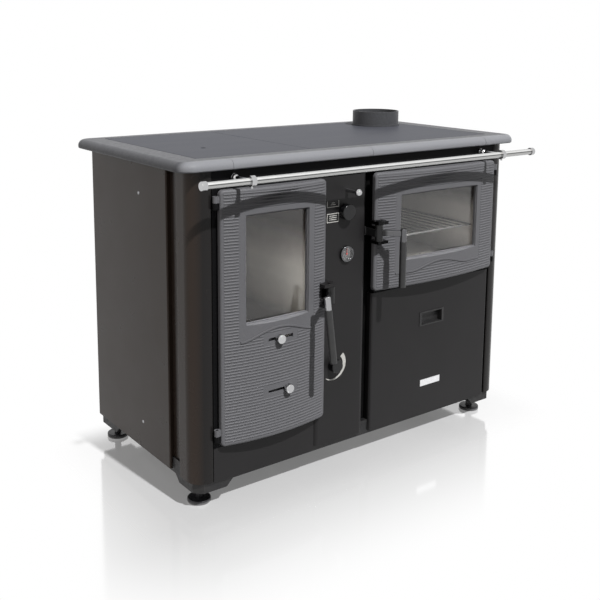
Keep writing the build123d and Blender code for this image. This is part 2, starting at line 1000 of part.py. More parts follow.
def make_oven_box():
    back_y = oven_front_y + oven_depth
    box = block(
        oven_left - sheet, oven_right + sheet, oven_front_y, back_y, oven_floor - sheet, oven_top + sheet
    )
    box -= block(oven_left, oven_right, oven_front_y - 1, back_y - sheet, oven_floor, oven_top)
    for x0, x1 in ((oven_left, oven_left + 8), (oven_right - 8, oven_right)):
        box += block(
            x0, x1, oven_front_y + 20, back_y - sheet, oven_floor + rack_rise - 4, oven_floor + rack_rise
        )
    return box


parts["oven_box"] = make_oven_box()


def make_rack():
    z = oven_floor + rack_rise + rack_rod / 2
    x0 = oven_left + 4
    x1 = oven_right - 4
    y0 = oven_front_y + 24
    y1 = oven_front_y + oven_depth - 12
    radius = rack_rod / 2
    rack = rod_x(y0, z, x0, x1, radius) + rod_x(y1, z, x0, x1, radius)
    rack += rod_y(x0, z, y0, y1, radius) + rod_y(x1, z, y0, y1, radius)
    for index in range(rack_bars):
        x = x0 + (x1 - x0) * (index + 1) / (rack_bars + 1)
        rack += rod_y(x, z, y0, y1, radius * 0.7)
    for corner_x in (x0, x1):
        for corner_y in (y0, y1):
            rack += Pos(corner_x, corner_y, z) * Sphere(radius)
    return rack


parts["oven_rack"] = make_rack()

runners = []
runner_front_y = oven_front_y + runner_front_gap
runner_back_y = case_front_y + drawer_front_depth + drawer_box_depth
for x0, side in ((side_sheet_left + sheet, 1), (side_sheet_right, -1)):
    wall = block(
        x0, x0 + side * sheet, runner_front_y, runner_back_y, runner_z, runner_z + runner_wall_height
    )
    shelf = block(
        x0, x0 + side * runner_width, runner_front_y, runner_back_y, runner_z, runner_z + sheet
    )
    runners.append((wall + shelf).solid())
parts["drawer_runners"] = Compound(children=runners)

# ------------------------------------------------------------------ bowed cast iron doors

door_back_y = forward(door_back_gap)


def bowed_slab(x0, x1, z0, z1, proud, back_y):
    """Everything between a flat back and the door's bowed front, moved outwards by proud."""
    edge_y = forward(door_edge_forward + proud)
    crown_y = forward(door_crown_forward + proud)
    front = ThreePointArc((x0, edge_y), ((x0 + x1) / 2, crown_y), (x1, edge_y))
    sides = Polyline((x1, edge_y), (x1, back_y), (x0, back_y), (x0, edge_y))
    return Pos(0, 0, z0) * extrude(make_face(Wire([front] + sides.edges())), z1 - z0)


def ridge_band(points, x0, x1, z0, z1):
    """A raised bead that follows a curve across the door's bowed face."""
    low = [(x, z - ridge_width / 2) for x, z in points]
    high = [(x, z + ridge_width / 2) for x, z in points]
    sides = [Spline(*low), Line(low[-1], high[-1]), Spline(*high), Line(low[0], high[0])]
    prism = Rot(90, 0, 0) * extrude(make_face(Wire(sides)), 2 * door_crown_forward)
    prism = Pos(0, door_back_y, 0) * prism
    skin = bowed_slab(x0, x1, z0, z1, ridge_height, door_back_y)
    skin -= bowed_slab(x0 - 1, x1 + 1, z0 - 1, z1 + 1, -ridge_root, door_back_y + 1)
    return prism & skin


def wave_points(x0, x1, low, high):
    """A flat line under the window that rises to one smooth crest in its middle."""
    centre = (x0 + x1) / 2
    half = (x1 - x0) / 2
    points = []
    for step in range(-8, 9):
        offset = step / 8 * half
        share = min(abs(offset) / wave_half, 1)
        rise = math.cos(math.pi / 2 * share) ** 1.3 if share < 1 else 0
        points.append((centre + offset, low + (high - low) * rise))
    return points


def window_box(x0, x1, z0, z1, grow, y0, y1):
    return block(x0 - grow, x1 + grow, y0, y1, z0 - grow, z1 + grow)


def make_door(x0, x1, z0, z1, window_width, window_bottom, wave):
    front_y = forward(door_crown_forward)
    body = bowed_slab(x0, x1, z0, z1, 0, door_back_y)
    body = fillet(body.edges().filter_by(Axis.Y), door_corner_radius)
    face = body.faces().filter_by(GeomType.CYLINDER).sort_by(Axis.Y)[0]
    body = fillet(face.edges(), door_edge_rounding)
    hollow = bowed_slab(
        x0 + door_side_wall,
        x1 - door_side_wall,
        z0 + door_side_wall,
        z1 - door_side_wall,
        -door_wall,
        door_back_y + 1,
    )
    door = body - hollow
    centre = (x0 + x1) / 2
    wx0 = centre - window_width / 2
    wx1 = centre + window_width / 2
    glass_y = forward(door_crown_forward - glass_depth - door_wall)
    envelope = bowed_slab(x0, x1, z0, z1, -door_wall / 2, door_back_y)
    seat = window_box(wx0, wx1, window_bottom, window_top, glass_seat_width, front_y, glass_y)
    seal_back = door_back_y
    seal_x0 = x0 + seal_inset_x
    seal_x1 = x1 - seal_inset_x
    seal_z0 = z0 + seal_inset_z
    seal_z1 = z1 - seal_inset_z
    seal_rib = block(seal_x0, seal_x1, front_y, seal_back, seal_z0, seal_z1)
    seal_rib -= block(
        seal_x0 + seal_width,
        seal_x1 - seal_width,
        front_y - 1,
        seal_back + 1,
        seal_z0 + seal_width,
        seal_z1 - seal_width,
    )
    door += envelope & (seat + seal_rib)
    opening = RectangleRounded(
        window_width + 2 * window_bevel, window_top - window_bottom + 2 * window_bevel, window_corner_radius
    )
    slant = math.degrees(math.atan(window_bevel / glass_depth))
    taper_y = front_y
    window_cut = extrude(opening, -glass_depth, taper=slant)
    window_cut = Pos(centre, taper_y, (window_bottom + window_top) / 2) * Rot(90, 0, 0) * window_cut
    door -= window_cut
    door -= window_box(wx0, wx1, window_bottom, window_top, -1, front_y + 2, door_back_y + 1)
    band_left = wx0 - window_band
    band_right = wx1 + window_band
    band_top = window_top + window_band
    door += ridge_band(wave_points(band_left, band_right, *wave), x0, x1, z0, z1)
    groove = block(band_left, band_right, front_y - 1, door_back_y, band_top, band_top + band_groove_width)
    door -= groove - bowed_slab(x0 - 1, x1 + 1, z0 - 1, z1 + 1, -band_groove_depth, door_back_y + 1)
    return door


def door_knuckles(side, axis_x, edge_x, lows):
    """Moving halves of a door's hinges, bored for the fixed pins."""
    axis_y = forward(hinge_forward)
    knuckles = []
    for low in lows:
        z0 = low + 0.3
        z1 = low + hinge_knuckle_height
        body = rod_z(axis_x, axis_y, z0, z1, hinge_knuckle_radius)
        body += block(axis_x, edge_x + side * 4, axis_y - 5, axis_y + 4, z0, z1)
        body -= rod_z(axis_x, axis_y, z0 - 1, z1 + 1, hinge_pin_radius + running_clearance)
        knuckles.append(body)
    return knuckles


def glass_pane(centre, window_width, window_bottom):
    glass_y = forward(door_crown_forward - glass_depth - door_wall)
    return block(
        centre - window_width / 2 - glass_overlap,
        centre + window_width / 2 + glass_overlap,
        glass_y,
        glass_y + glass_thickness,
        window_bottom - glass_overlap,
        window_top + glass_overlap,
    )


def glass_clips(centre, window_width, window_bottom):
    """Four stepped clips that hold the pane against its seat."""
    glass_y = forward(door_crown_forward - glass_depth - door_wall)
    lip_y = glass_y + glass_thickness
    clips = []
    for side in (-1, 1):
        edge_x = centre + side * (window_width / 2 + glass_overlap)
        for z in (window_bottom + 30, window_top - 30):
            foot = block(
                edge_x + side * 1,
                edge_x + side * (glass_seat_width - glass_overlap),
                glass_y,
                lip_y + clip_thickness,
                z - clip_size / 2,
                z + clip_size / 2,
            )
            lip = block(
                edge_x - side * 6,
                edge_x + side * 1,
                lip_y,
                lip_y + clip_thickness,
                z - clip_size / 2,
                z + clip_size / 2,
            )
            clips.append((foot + lip).solid())
    return Compound(children=clips)


def rope_seal(x0, x1, z0, z1):
    """Rope seal between the door's inner rib and the front frame."""
    back_y = case_front_y - seal_squeeze_gap
    ring = block(
        x0 + seal_inset_x,
        x1 - seal_inset_x,
        door_back_y,
        back_y,
        z0 + seal_inset_z,
        z1 - seal_inset_z,
    )
    return ring - block(
        x0 + seal_inset_x + seal_width,
        x1 - seal_inset_x - seal_width,
        door_back_y - 1,
        back_y + 1,
        z0 + seal_inset_z + seal_width,
        z1 - seal_inset_z - seal_width,
    )


def latch_notch(side, pin_x, z):
    """Room in the door's edge for the latch tail; side points from the pin into the door."""
    half = latch_tail_height / 2 + 4
    reach = latch_pin_forward * math.tan(math.radians(latch_pull_angle))
    return block(
        pin_x - side * latch_hub_radius,
        pin_x + side * (reach - 2),
        forward(door_crown_forward + 1),
        door_back_y + 1,
        z - half,
        z + half,
    )


def latch_bracket(side, pin_x, z, x0, x1, z0, z1):
    """Black clevis on the door's edge, seated on the bowed face, and its upright pin."""
    half = latch_height / 2
    pin_y = forward(latch_pin_forward)
    ear_x0 = pin_x - side * 9
    ear_x1 = pin_x + side * latch_bracket_width
    front_y = forward(latch_pin_forward + 9)
    plate = block(
        pin_x + side * 4,
        ear_x1,
        forward(door_edge_forward + 6),
        forward(door_edge_forward - 8),
        z - half,
        z + half,
    )
    clevis = plate
    for low, high in ((z - half, z - half + latch_ear), (z + half - latch_ear, z + half)):
        clevis += block(ear_x0, ear_x1, front_y, forward(door_edge_forward - 8), low, high)
        clevis -= rod_z(pin_x, pin_y, low - 1, high + 1, latch_pin_radius + running_clearance)
    clevis -= bowed_slab(x0, x1, z0, z1, 0.1, door_back_y)
    clevis -= latch_notch(side, pin_x, z)
    pin = rod_z(pin_x, pin_y, z - half - 2, z + half + 2, latch_pin_radius)
    head = rod_z(pin_x, pin_y, z + half, z + half + 3, latch_pin_radius + 3)
    solids = clevis.solids() + (pin + head).solids()
    return Compound(children=solids)


def latch_lever(side, pin_x, z, tilt):
    """Cast lever: hub on the pin, tail through the door's edge, arm and the grip's metal stub."""
    pin_y = forward(latch_pin_forward)
    half = latch_height / 2 - latch_ear - latch_play
    lever = rod_z(pin_x, pin_y, z - half, z + half, latch_hub_radius)
    end_x = pin_x + side * latch_arm_in
    end_y = pin_y - latch_arm_out
    length = math.hypot(latch_arm_in, latch_arm_out)
    angle = math.degrees(math.atan2(-latch_arm_out, side * latch_arm_in))
    arm = Box(length, latch_arm_width, latch_arm_height)
    arm = fillet(arm.edges().filter_by(Axis.X), 3)
    lever += Pos((pin_x + end_x) / 2, (pin_y + end_y) / 2, z) * Rot(0, 0, angle) * arm
    tail_x0 = pin_x - side * tail_outer
    tail_x1 = tail_x0 + side * latch_tail_thickness
    tail_half = latch_tail_height / 2
    lever += block(
        tail_x0, tail_x1, pin_y - 2, forward(-latch_tail_reach), z - tail_half, z + tail_half
    )
    lever += block(tail_x0, pin_x, pin_y - 2, pin_y + 8, z - tail_half, z + tail_half)
    lever -= rod_z(pin_x, pin_y, z - half - 1, z + half + 1, latch_pin_radius + running_clearance)
    stub = Pos(0, 0, (stub_rise - stub_drop) / 2) * Cylinder(stub_radius, stub_rise + stub_drop)
    top_edges = stub.edges().group_by(Axis.Z)[-1]
    stub = fillet(top_edges, 2)
    lever += Pos(end_x, end_y, z) * Rot(-tilt, 0, 0) * stub
    return lever


def handle_grip(side, pin_x, z, length, tilt):
    pin_y = forward(latch_pin_forward)
    end_x = pin_x + side * latch_arm_in
    end_y = pin_y - latch_arm_out
    grip = Pos(0, 0, -stub_drop - length / 2) * Cylinder(grip_radius, length)
    grip = fillet(grip.edges().group_by(Axis.Z)[-1], 2)
    return Pos(end_x, end_y, z) * Rot(-tilt, 0, 0) * grip


fire_door = make_door(
    fire_door_left,
    fire_door_right,
    fire_door_bottom,
    door_top,
    fire_window_width,
    fire_window_bottom,
    (fire_wave_low, fire_wave_high),
)
for knuckle in door_knuckles(1, fire_hinge_x, fire_door_left, (fire_hinge_low, hinge_high)):
    fire_door += knuckle
fire_door -= latch_notch(-1, fire_pin_x, fire_latch_z)
slide_seat_y = forward(door_crown_forward - slide_seat_depth)
slide_plate_y = slide_seat_y + seat_gap
slot_left = slot_centre_x - slot_width / 2
slot_right = slot_centre_x + slot_width / 2
slide_stop = knob_neck_radius + latch_play
slide_plate_right = slide_stop + slide_plate_lap
slide_plate_left = slide_plate_right - slot_width - 2 * slide_plate_lap
pocket_left = slot_left + slide_stop + slide_plate_left - 1
pocket_right = slot_right - slide_stop + slide_plate_right + 1
for z in (upper_slot_z, lower_slot_z):
    pad_front_y = forward(door_edge_forward + 8)
    fire_door += block(
        pocket_left - 4, pocket_right + 4, pad_front_y, slide_seat_y, z - slot_height - 4, z + slot_height + 4
    )
    fire_door -= block(
        pocket_left, pocket_right, slide_seat_y, door_back_y + 1, z - slot_height - 1, z + slot_height + 1
    )
    for guide_z in (z - slot_height - 1 - slide_guide, z + slot_height + 1):
        fire_door += block(
            pocket_left,
            pocket_right,
            slide_seat_y - 1,
            slide_plate_y + slide_plate_thickness + 2,
            guide_z,
            guide_z + slide_guide,
        )
    fire_door -= block(
        slot_left,
        slot_right,
        forward(door_crown_forward + 2),
        slide_seat_y + 1,
        z - slot_height / 2,
        z + slot_height / 2,
    )
parts["firebox_door"] = fire_door
parts["firebox_glass"] = glass_pane(fire_door_centre, fire_window_width, fire_window_bottom)
parts["firebox_glass_clips"] = glass_clips(fire_door_centre, fire_window_width, fire_window_bottom)
parts["firebox_door_seal"] = rope_seal(fire_door_left, fire_door_right, fire_door_bottom, door_top)
parts["firebox_latch_bracket"] = latch_bracket(
    -1, fire_pin_x, fire_latch_z, fire_door_left, fire_door_right, fire_door_bottom, door_top
)
parts["firebox_handle_lever"] = latch_lever(-1, fire_pin_x, fire_latch_z, fire_grip_tilt)
parts["firebox_handle_grip"] = handle_grip(-1, fire_pin_x, fire_latch_z, fire_grip_length, fire_grip_tilt)

oven_door = make_door(
    oven_door_left,
    oven_door_right,
    oven_door_bottom,
    door_top,
    oven_window_width,
    oven_window_bottom,
    (oven_wave_low, oven_wave_high),
)
for knuckle in door_knuckles(-1, oven_hinge_x, oven_door_right, (oven_hinge_low, hinge_high)):
    oven_door += knuckle
oven_door -= latch_notch(1, oven_pin_x, oven_latch_z)
parts["oven_door"] = oven_door
parts["oven_glass"] = glass_pane(oven_door_centre, oven_window_width, oven_window_bottom)
parts["oven_glass_clips"] = glass_clips(oven_door_centre, oven_window_width, oven_window_bottom)
parts["oven_door_seal"] = rope_seal(oven_door_left, oven_door_right, oven_door_bottom, door_top)
parts["oven_latch_bracket"] = latch_bracket(
    1, oven_pin_x, oven_latch_z, oven_door_left, oven_door_right, oven_door_bottom, door_top
)
parts["oven_handle_lever"] = latch_lever(1, oven_pin_x, oven_latch_z, 0)
parts["oven_handle_grip"] = handle_grip(1, oven_pin_x, oven_latch_z, oven_grip_length, 0)

# Striker plates that face the latch tails: one inside the column, one on its right-hand flank
striker_half = latch_tail_height / 2 + 2
fire_striker_x = fire_pin_x + tail_outer + striker_gap
column_back_y = forward(column_forward) + sheet
fire_striker = block(
    fire_striker_x,
    fire_striker_x + 4,
    column_back_y,
    forward(-latch_tail_reach),
    fire_latch_z - striker_half,
    fire_latch_z + striker_half,
)
oven_striker = block(
    column_right,
    oven_pin_x - tail_outer - striker_gap,
    forward(-latch_tail_reach - 6),
    forward(-2),
    oven_latch_z - striker_half,
    oven_latch_z + striker_half,
)
parts["latch_strikers"] = Compound(children=[fire_striker.solid(), oven_striker.solid()])

# ------------------------------------------------------------------ air slides


def air_slide(knob_x, z):
    plate = block(
        knob_x + slide_plate_left,
        knob_x + slide_plate_right,
        slide_plate_y,
        slide_plate_y + slide_plate_thickness,
        z - slot_height + 0.5,
        z + slot_height - 0.5,
    )
    knob_back_y = forward(door_crown_forward + knob_face_gap)
    knob_front_y = knob_back_y - knob_thickness
    neck = rod_y(knob_x, z, knob_back_y, slide_plate_y, knob_neck_radius)
    knob = rod_y(knob_x, z, knob_front_y, knob_back_y, knob_radius)
    knob = fillet(knob.edges().filter_by(GeomType.CIRCLE), 3)
    return plate + neck + knob


parts["upper_air_slide"] = air_slide(upper_knob_rest_x, upper_slot_z)
parts["lower_air_slide"] = air_slide(lower_knob_rest_x, lower_slot_z)

# ------------------------------------------------------------------ controls on the column

column_face_y = forward(column_forward)


def make_damper():
    ball_y = forward(damper_knob_forward)
    disc_y = guide_y + guide_thickness + seat_gap
    rod = rod_y(control_x, damper_z, ball_y, disc_y, damper_rod_radius)
    ball = Pos(control_x, ball_y, damper_z) * Sphere(damper_knob_radius)
    disc = rod_y(control_x, damper_z, disc_y, disc_y + 3, damper_disc_radius)
    return rod + ball + disc


parts["damper_rod"] = make_damper()


def turn_knob(x, z, radius, length, shaft_back):
    front_y = column_face_y - 1 - length
    knob = rod_y(x, z, front_y, column_face_y - 1, radius)
    knob = fillet(knob.edges().filter_by(GeomType.CIRCLE).sort_by(Axis.Y)[0], 3)
    shaft = rod_y(x, z, column_face_y - 1, shaft_back, dial_shaft_radius)
    collar = rod_y(x, z, column_back_y + 1, column_back_y + 4, dial_shaft_radius + 4)
    return knob + shaft + collar


parts["regulator_knob"] = turn_knob(
    regulator_x, regulator_z, dial_knob_radius, dial_knob_length, column_back_y + 20
)
parts["draught_knob"] = turn_knob(
    draught_x, draught_z, draught_knob_radius, dial_knob_length, column_back_y + 20
)


def make_thermometer():
    front_y = column_face_y - thermometer_forward
    bezel = rod_y(control_x, thermometer_z, front_y, column_face_y, thermometer_radius)
    bezel = fillet(bezel.edges().filter_by(GeomType.CIRCLE).sort_by(Axis.Y)[0], 2)
    bezel += rod_y(
        control_x, thermometer_z, column_face_y, column_face_y + 14, thermometer_body_radius
    )
    return bezel - rod_y(
        control_x,
        thermometer_z,
        front_y - 1,
        front_y + 6,
        thermometer_body_radius,
    )


parts["thermometer_case"] = make_thermometer()
dial_y = column_face_y - thermometer_forward + 6
glass_front_y = column_face_y - thermometer_forward + 1
parts["thermometer_glass"] = rod_y(
    control_x, thermometer_z, glass_front_y, glass_front_y + 1.5, thermometer_body_radius - seat_clearance
)
needle_y = dial_y - 1.6
needle = block(control_x - 0.8, control_x + 0.8, needle_y, needle_y + 0.8, thermometer_z - 4, thermometer_z + 15)
needle += rod_y(control_x, thermometer_z, needle_y - 0.4, dial_y - 0.3, 2.2)
parts["thermometer_needle"] = needle

# ------------------------------------------------------------------ fuel drawer

pull_x0 = drawer_centre - pull_width / 2
pull_x1 = drawer_centre + pull_width / 2
pull_z0 = pull_z - pull_height / 2
pull_z1 = pull_z + pull_height / 2
drawer_back_y = case_front_y + drawer_front_depth
pull_wall = 1.5


def make_drawer_front():
    front = block(
        drawer_left, drawer_right, case_front_y, drawer_back_y, case_bottom, drawer_front_top
    )
    upright = front.edges().filter_by(Axis.Z).group_by(Axis.Y)[0]
    front = fillet(upright, drawer_edge_radius)
    front -= block(
        drawer_left + sheet,
        drawer_right - sheet,
        case_front_y + sheet,
        drawer_back_y + 1,
        case_bottom + sheet,
        drawer_front_top - sheet,
    )
    front += block(
        drawer_left + 12,
        drawer_right - 12,
        drawer_back_y - sheet,
        drawer_back_y,
        drawer_box_floor,
        drawer_front_top - sheet,
    )
    front -= block(
        pull_x0 - pull_wall, pull_x1 + pull_wall, case_front_y - 1, case_front_y + sheet + 1,
        pull_z0 - pull_wall, pull_z1 + pull_wall,
    )
    return clear_of_base(front)


parts["drawer_front"] = make_drawer_front()

pull = block(
    pull_x0 - pull_rim,
    pull_x1 + pull_rim,
    case_front_y - pull_wall,
    case_front_y,
    pull_z0 - pull_rim / 2,
    pull_z1 + pull_rim / 2,
)
pull += block(
    pull_x0 - pull_wall,
    pull_x1 + pull_wall,
    case_front_y,
    case_front_y + pull_depth + pull_wall,
    pull_z0 - pull_wall,
    pull_z1 + pull_wall,
)
pull -= block(
    pull_x0, pull_x1, case_front_y - pull_wall - 1, case_front_y + pull_depth, pull_z0, pull_z1
)
parts["drawer_pull"] = pull

parts["badge_plate"] = block(
    drawer_centre - badge_width / 2,
    drawer_centre + badge_width / 2,
    case_front_y - badge_thickness,
    case_front_y,
    badge_z - badge_height / 2,
    badge_z + badge_height / 2,
)

box_side = sheet
box_x0 = side_sheet_left + sheet + runner_width + drawer_side_clearance
box_x1 = side_sheet_right - runner_width - drawer_side_clearance
box_back_y = drawer_back_y + drawer_box_depth
box_top = drawer_box_floor + drawer_box_height
drawer_box = block(box_x0, box_x1, drawer_back_y, box_back_y, drawer_box_floor, box_top)
drawer_box -= block(
    box_x0 + box_side,
    box_x1 - box_side,
    drawer_back_y + box_side,
    box_back_y - box_side,
    drawer_box_floor + box_side,
    box_top + 1,
)
slider_z = runner_z + sheet + 0.3
for edge_x, side in ((box_x0, -1), (box_x1, 1)):
    drawer_box += block(
        edge_x,
        edge_x + side * (runner_width + drawer_side_clearance - sheet - 1),
        drawer_back_y + 30,
        box_back_y,
        slider_z,
        slider_z + runner_height,
    )
parts["drawer_box"] = drawer_box

# ------------------------------------------------------------------ towel rail

rail_y = forward(rail_reach)
rail = rod_x(rail_y, rail_z, -rail_half_length + rail_cap_length, rail_half_length - rail_cap_length, rail_radius)
rail -= rod_x(rail_y, rail_z, -rail_half_length, rail_half_length, rail_radius - rail_wall)
parts["towel_rail"] = rail

caps = []
for side in (-1, 1):
    inner_x = side * (rail_half_length - rail_cap_length)
    cap = rod_x(rail_y, rail_z, inner_x, side * rail_half_length, rail_cap_radius)
    cap = fillet(cap.edges().filter_by(GeomType.CIRCLE).sort_by(Axis.X)[-1 if side > 0 else 0], 3)
    cap += rod_x(rail_y, rail_z, inner_x - side * 10, inner_x, rail_radius - rail_wall - seat_clearance)
    caps.append(cap.solid())
parts["rail_end_caps"] = Compound(children=caps)

brackets = []
for side in (-1, 1):
    x = side * rail_bracket_x
    arm = rod_y(x, rail_z, fascia_y, rail_y, rail_arm_radius)
    boss = rod_y(x, rail_z, fascia_y - 6, fascia_y, rail_boss_radius)
    boss += Pos(x, fascia_y - 14, rail_z) * Sphere(rail_boss_radius)
    ring = rod_x(rail_y, rail_z, x - rail_ring_width / 2, x + rail_ring_width / 2, rail_ring_radius)
    bracket = arm + boss + ring
    screw_length = rail_screw_reach + 2
    screw_z = rail_z - rail_ring_radius - rail_screw_reach + screw_length / 2
    bracket += Pos(x, rail_y, screw_z) * Cylinder(rail_screw_radius, screw_length)
    ring_bore = rail_radius + running_clearance
    bracket -= rod_x(rail_y, rail_z, x - rail_ring_width, x + rail_ring_width, ring_bore)
    brackets.append(bracket.solid())
parts["rail_brackets"] = Compound(children=brackets)

# ------------------------------------------------------------------ files

os.makedirs("parts", exist_ok=True)
for node, shape in parts.items():
    export_step(shape, f"parts/{node}.step")
print(len(parts), "nodes; overall depth", round(overall_depth, 2), "case front y", round(case_front_y, 3))
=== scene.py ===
import math

import bmesh
import bpy
from mathutils import Matrix, Vector


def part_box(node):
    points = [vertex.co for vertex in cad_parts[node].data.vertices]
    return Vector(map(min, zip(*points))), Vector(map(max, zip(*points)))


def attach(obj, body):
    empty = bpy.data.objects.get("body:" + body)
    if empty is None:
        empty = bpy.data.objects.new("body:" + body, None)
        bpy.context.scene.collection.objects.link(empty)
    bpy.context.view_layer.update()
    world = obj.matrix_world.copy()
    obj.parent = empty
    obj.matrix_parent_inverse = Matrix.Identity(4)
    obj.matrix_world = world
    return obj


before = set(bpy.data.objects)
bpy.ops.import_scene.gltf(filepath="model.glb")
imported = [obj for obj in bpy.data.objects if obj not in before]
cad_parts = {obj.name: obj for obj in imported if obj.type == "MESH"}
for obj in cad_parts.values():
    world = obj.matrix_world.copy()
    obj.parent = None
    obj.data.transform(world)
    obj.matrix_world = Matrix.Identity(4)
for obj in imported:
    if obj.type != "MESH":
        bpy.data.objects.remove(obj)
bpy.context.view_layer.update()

# ---------------------------------------------------------------- the studio
# The stove stands on a pale gloss floor that runs into a white backdrop. One hard lamp stands
# high in front of it, and a wide soft one lights its left side.

camera_place = Vector((-1.5720, -2.0297, 1.1635))
camera_yaw = math.radians(36.845)
camera_pitch = math.radians(9.39)
camera_roll = math.radians(0.463)
frame_side, framing_shift = 600, 115

lens = bpy.data.cameras.new("studio_camera")
lens.lens = 54.25
lens.sensor_width = 36.0
lens.shift_y = -framing_shift / frame_side
lens.clip_end = 200.0
studio_camera = bpy.data.objects.new("studio_camera", lens)
bpy.context.scene.collection.objects.link(studio_camera)
ahead = Vector((
    math.sin(camera_yaw) * math.cos(camera_pitch),
    math.cos(camera_yaw) * math.cos(camera_pitch),
    -math.sin(camera_pitch),
))
level_right = Vector((math.cos(camera_yaw), -math.sin(camera_yaw), 0.0))
level_up = level_right.cross(ahead)
right = math.cos(camera_roll) * level_right + math.sin(camera_roll) * level_up
up = math.cos(camera_roll) * level_up - math.sin(camera_roll) * level_right
turn = Matrix((right, up, -ahead)).transposed().to_4x4()
studio_camera.matrix_world = Matrix.Translation(camera_place) @ turn
bpy.context.scene.camera = studio_camera
bpy.context.scene.view_settings.view_transform = "Standard"


def studio_lamp(name, azimuth, elevation, strength, spread, colour=(1.0, 1.0, 1.0)):
    """A far lamp: azimuth 0 is straight in front of the stove and grows to its right."""
    data = bpy.data.lights.new(name, "SUN")
    data.energy = strength
    data.angle = math.radians(spread)
    data.color = colour
    lamp = bpy.data.objects.new(name, data)
    a, e = math.radians(azimuth), math.radians(elevation)
    towards = Vector((math.sin(a) * math.cos(e), -math.cos(a) * math.cos(e), math.sin(e)))
    lamp.rotation_euler = towards.to_track_quat("Z", "Y").to_euler()
    bpy.context.scene.collection.objects.link(lamp)


studio_lamp("key_lamp", azimuth=5, elevation=52.5, strength=3.25, spread=1.5)
studio_lamp(
    "side_lamp", azimuth=-78, elevation=24, strength=0.38, spread=50, colour=(1.0, 0.93, 0.86)
)


def seen_rays(tree):
    """1 for a ray seen by the camera, straight, in a mirror or through glass; otherwise 0."""
    path = tree.nodes.new("ShaderNodeLightPath")
    seen = path.outputs["Is Camera Ray"]
    for kind in ("Is Glossy Ray", "Is Transmission Ray"):
        either = tree.nodes.new("ShaderNodeMath")
        either.operation = "MAXIMUM"
        tree.links.new(seen, either.inputs[0])
        tree.links.new(path.outputs[kind], either.inputs[1])
        seen = either.outputs[0]
    return seen


def coloured(tree, kind, colour):
    """A shader node of a kind, with its colour."""
    node = tree.nodes.new(kind)
    node.inputs["Color"].default_value = (*colour, 1.0)
    return node


def mixed(tree, share, first, second):
    """A first shader that turns into a second one as a share goes from 0 to 1."""
    mix = tree.nodes.new("ShaderNodeMixShader")
    tree.links.new(share, mix.inputs[0])
    tree.links.new(first.outputs[0], mix.inputs[1])
    tree.links.new(second.outputs[0], mix.inputs[2])
    return mix


def white_room():
    """An even, weak light from all round, whose source is seen as plain white."""
    world = bpy.data.worlds.new("white_room")
    world.use_nodes = True
    bpy.context.scene.world = world
    room = world.node_tree
    room.nodes.clear()
    light_side = coloured(room, "ShaderNodeBackground", (1.0, 1.0, 1.0))
    light_side.inputs["Strength"].default_value = 0.15
    white_side = coloured(room, "ShaderNodeBackground", (1.0, 1.0, 1.0))
    white_side.inputs["Strength"].default_value = 1.0
    both_sides = mixed(room, seen_rays(room), light_side, white_side)
    out = room.nodes.new("ShaderNodeOutputWorld")
    room.links.new(both_sides.outputs[0], out.inputs["Surface"])


white_room()


def distance_from_stove(tree):
    """How far outside the stove's footprint a point of the floor is, in metres."""
    half_width, half_depth = 0.568, 0.24
    where = tree.nodes.new("ShaderNodeTexCoord")
    place = where.outputs["Object"]
    for step, value in (
        ("ABSOLUTE", None),
        ("SUBTRACT", (half_width, half_depth, 0.0)),
        ("MAXIMUM", (0.0, 0.0, 0.0)),
        ("LENGTH", None),
    ):
        far = tree.nodes.new("ShaderNodeVectorMath")
        far.operation = step
        tree.links.new(place, far.inputs[0])
        if value is not None:
            far.inputs[1].default_value = value
        place = far.outputs[0]
    return far.outputs["Value"]


def faded_share(tree, distance, seen, near, far, reach):
    """A share that goes from near to far within reach of the stove, for seen light only."""
    fade = tree.nodes.new("ShaderNodeMapRange")
    fade.interpolation_type = "SMOOTHSTEP"
    fade.inputs["From Max"].default_value = reach
    fade.inputs["To Min"].default_value = near
    fade.inputs["To Max"].default_value = far
    tree.links.new(distance, fade.inputs["Value"])
    share = tree.nodes.new("ShaderNodeMath")
    share.operation = "MULTIPLY"
    tree.links.new(fade.outputs["Result"], share.inputs[0])
    tree.links.new(seen, share.inputs[1])
    return share.outputs[0]


def studio_floor():
    """A round sheet of white gloss floor: a close shadow, a fading mirror image, then white."""
    reach, sides = 60.0, 64
    angles = [2 * math.pi * k / sides for k in range(sides)]
    mesh = bpy.data.meshes.new("studio_floor")
    corners = [(reach * math.cos(a), reach * math.sin(a), 0.0) for a in angles]
    mesh.from_pydata(corners, [], [list(range(sides))])
    floor = bpy.data.objects.new("studio_floor", mesh)
    bpy.context.scene.collection.objects.link(floor)
    finish = bpy.data.materials.new("studio_floor")
    finish.use_nodes = True
    tree = finish.node_tree
    tree.nodes.clear()
    lit = coloured(tree, "ShaderNodeBsdfDiffuse", (0.93, 0.93, 0.935))
    dull = coloured(tree, "ShaderNodeBsdfDiffuse", (0.09, 0.09, 0.09))
    white = coloured(tree, "ShaderNodeEmission", (1.0, 1.0, 1.0))
    shine = coloured(tree, "ShaderNodeBsdfGlossy", (1.0, 1.0, 1.0))
    shine.inputs["Roughness"].default_value = 0.1
    seen = seen_rays(tree)
    distance = distance_from_stove(tree)
    matt = mixed(tree, seen, dull, lit)
    blankness = faded_share(tree, distance, seen, near=0.25, far=1.0, reach=0.16)
    mirroring = faded_share(tree, distance, seen, near=0.32, far=0.0, reach=0.45)
    ground = mixed(tree, blankness, matt, white)
    surface = mixed(tree, mirroring, ground, shine)
    out = tree.nodes.new("ShaderNodeOutputMaterial")
    tree.links.new(surface.outputs[0], out.inputs["Surface"])
    mesh.materials.append(finish)


studio_floor()
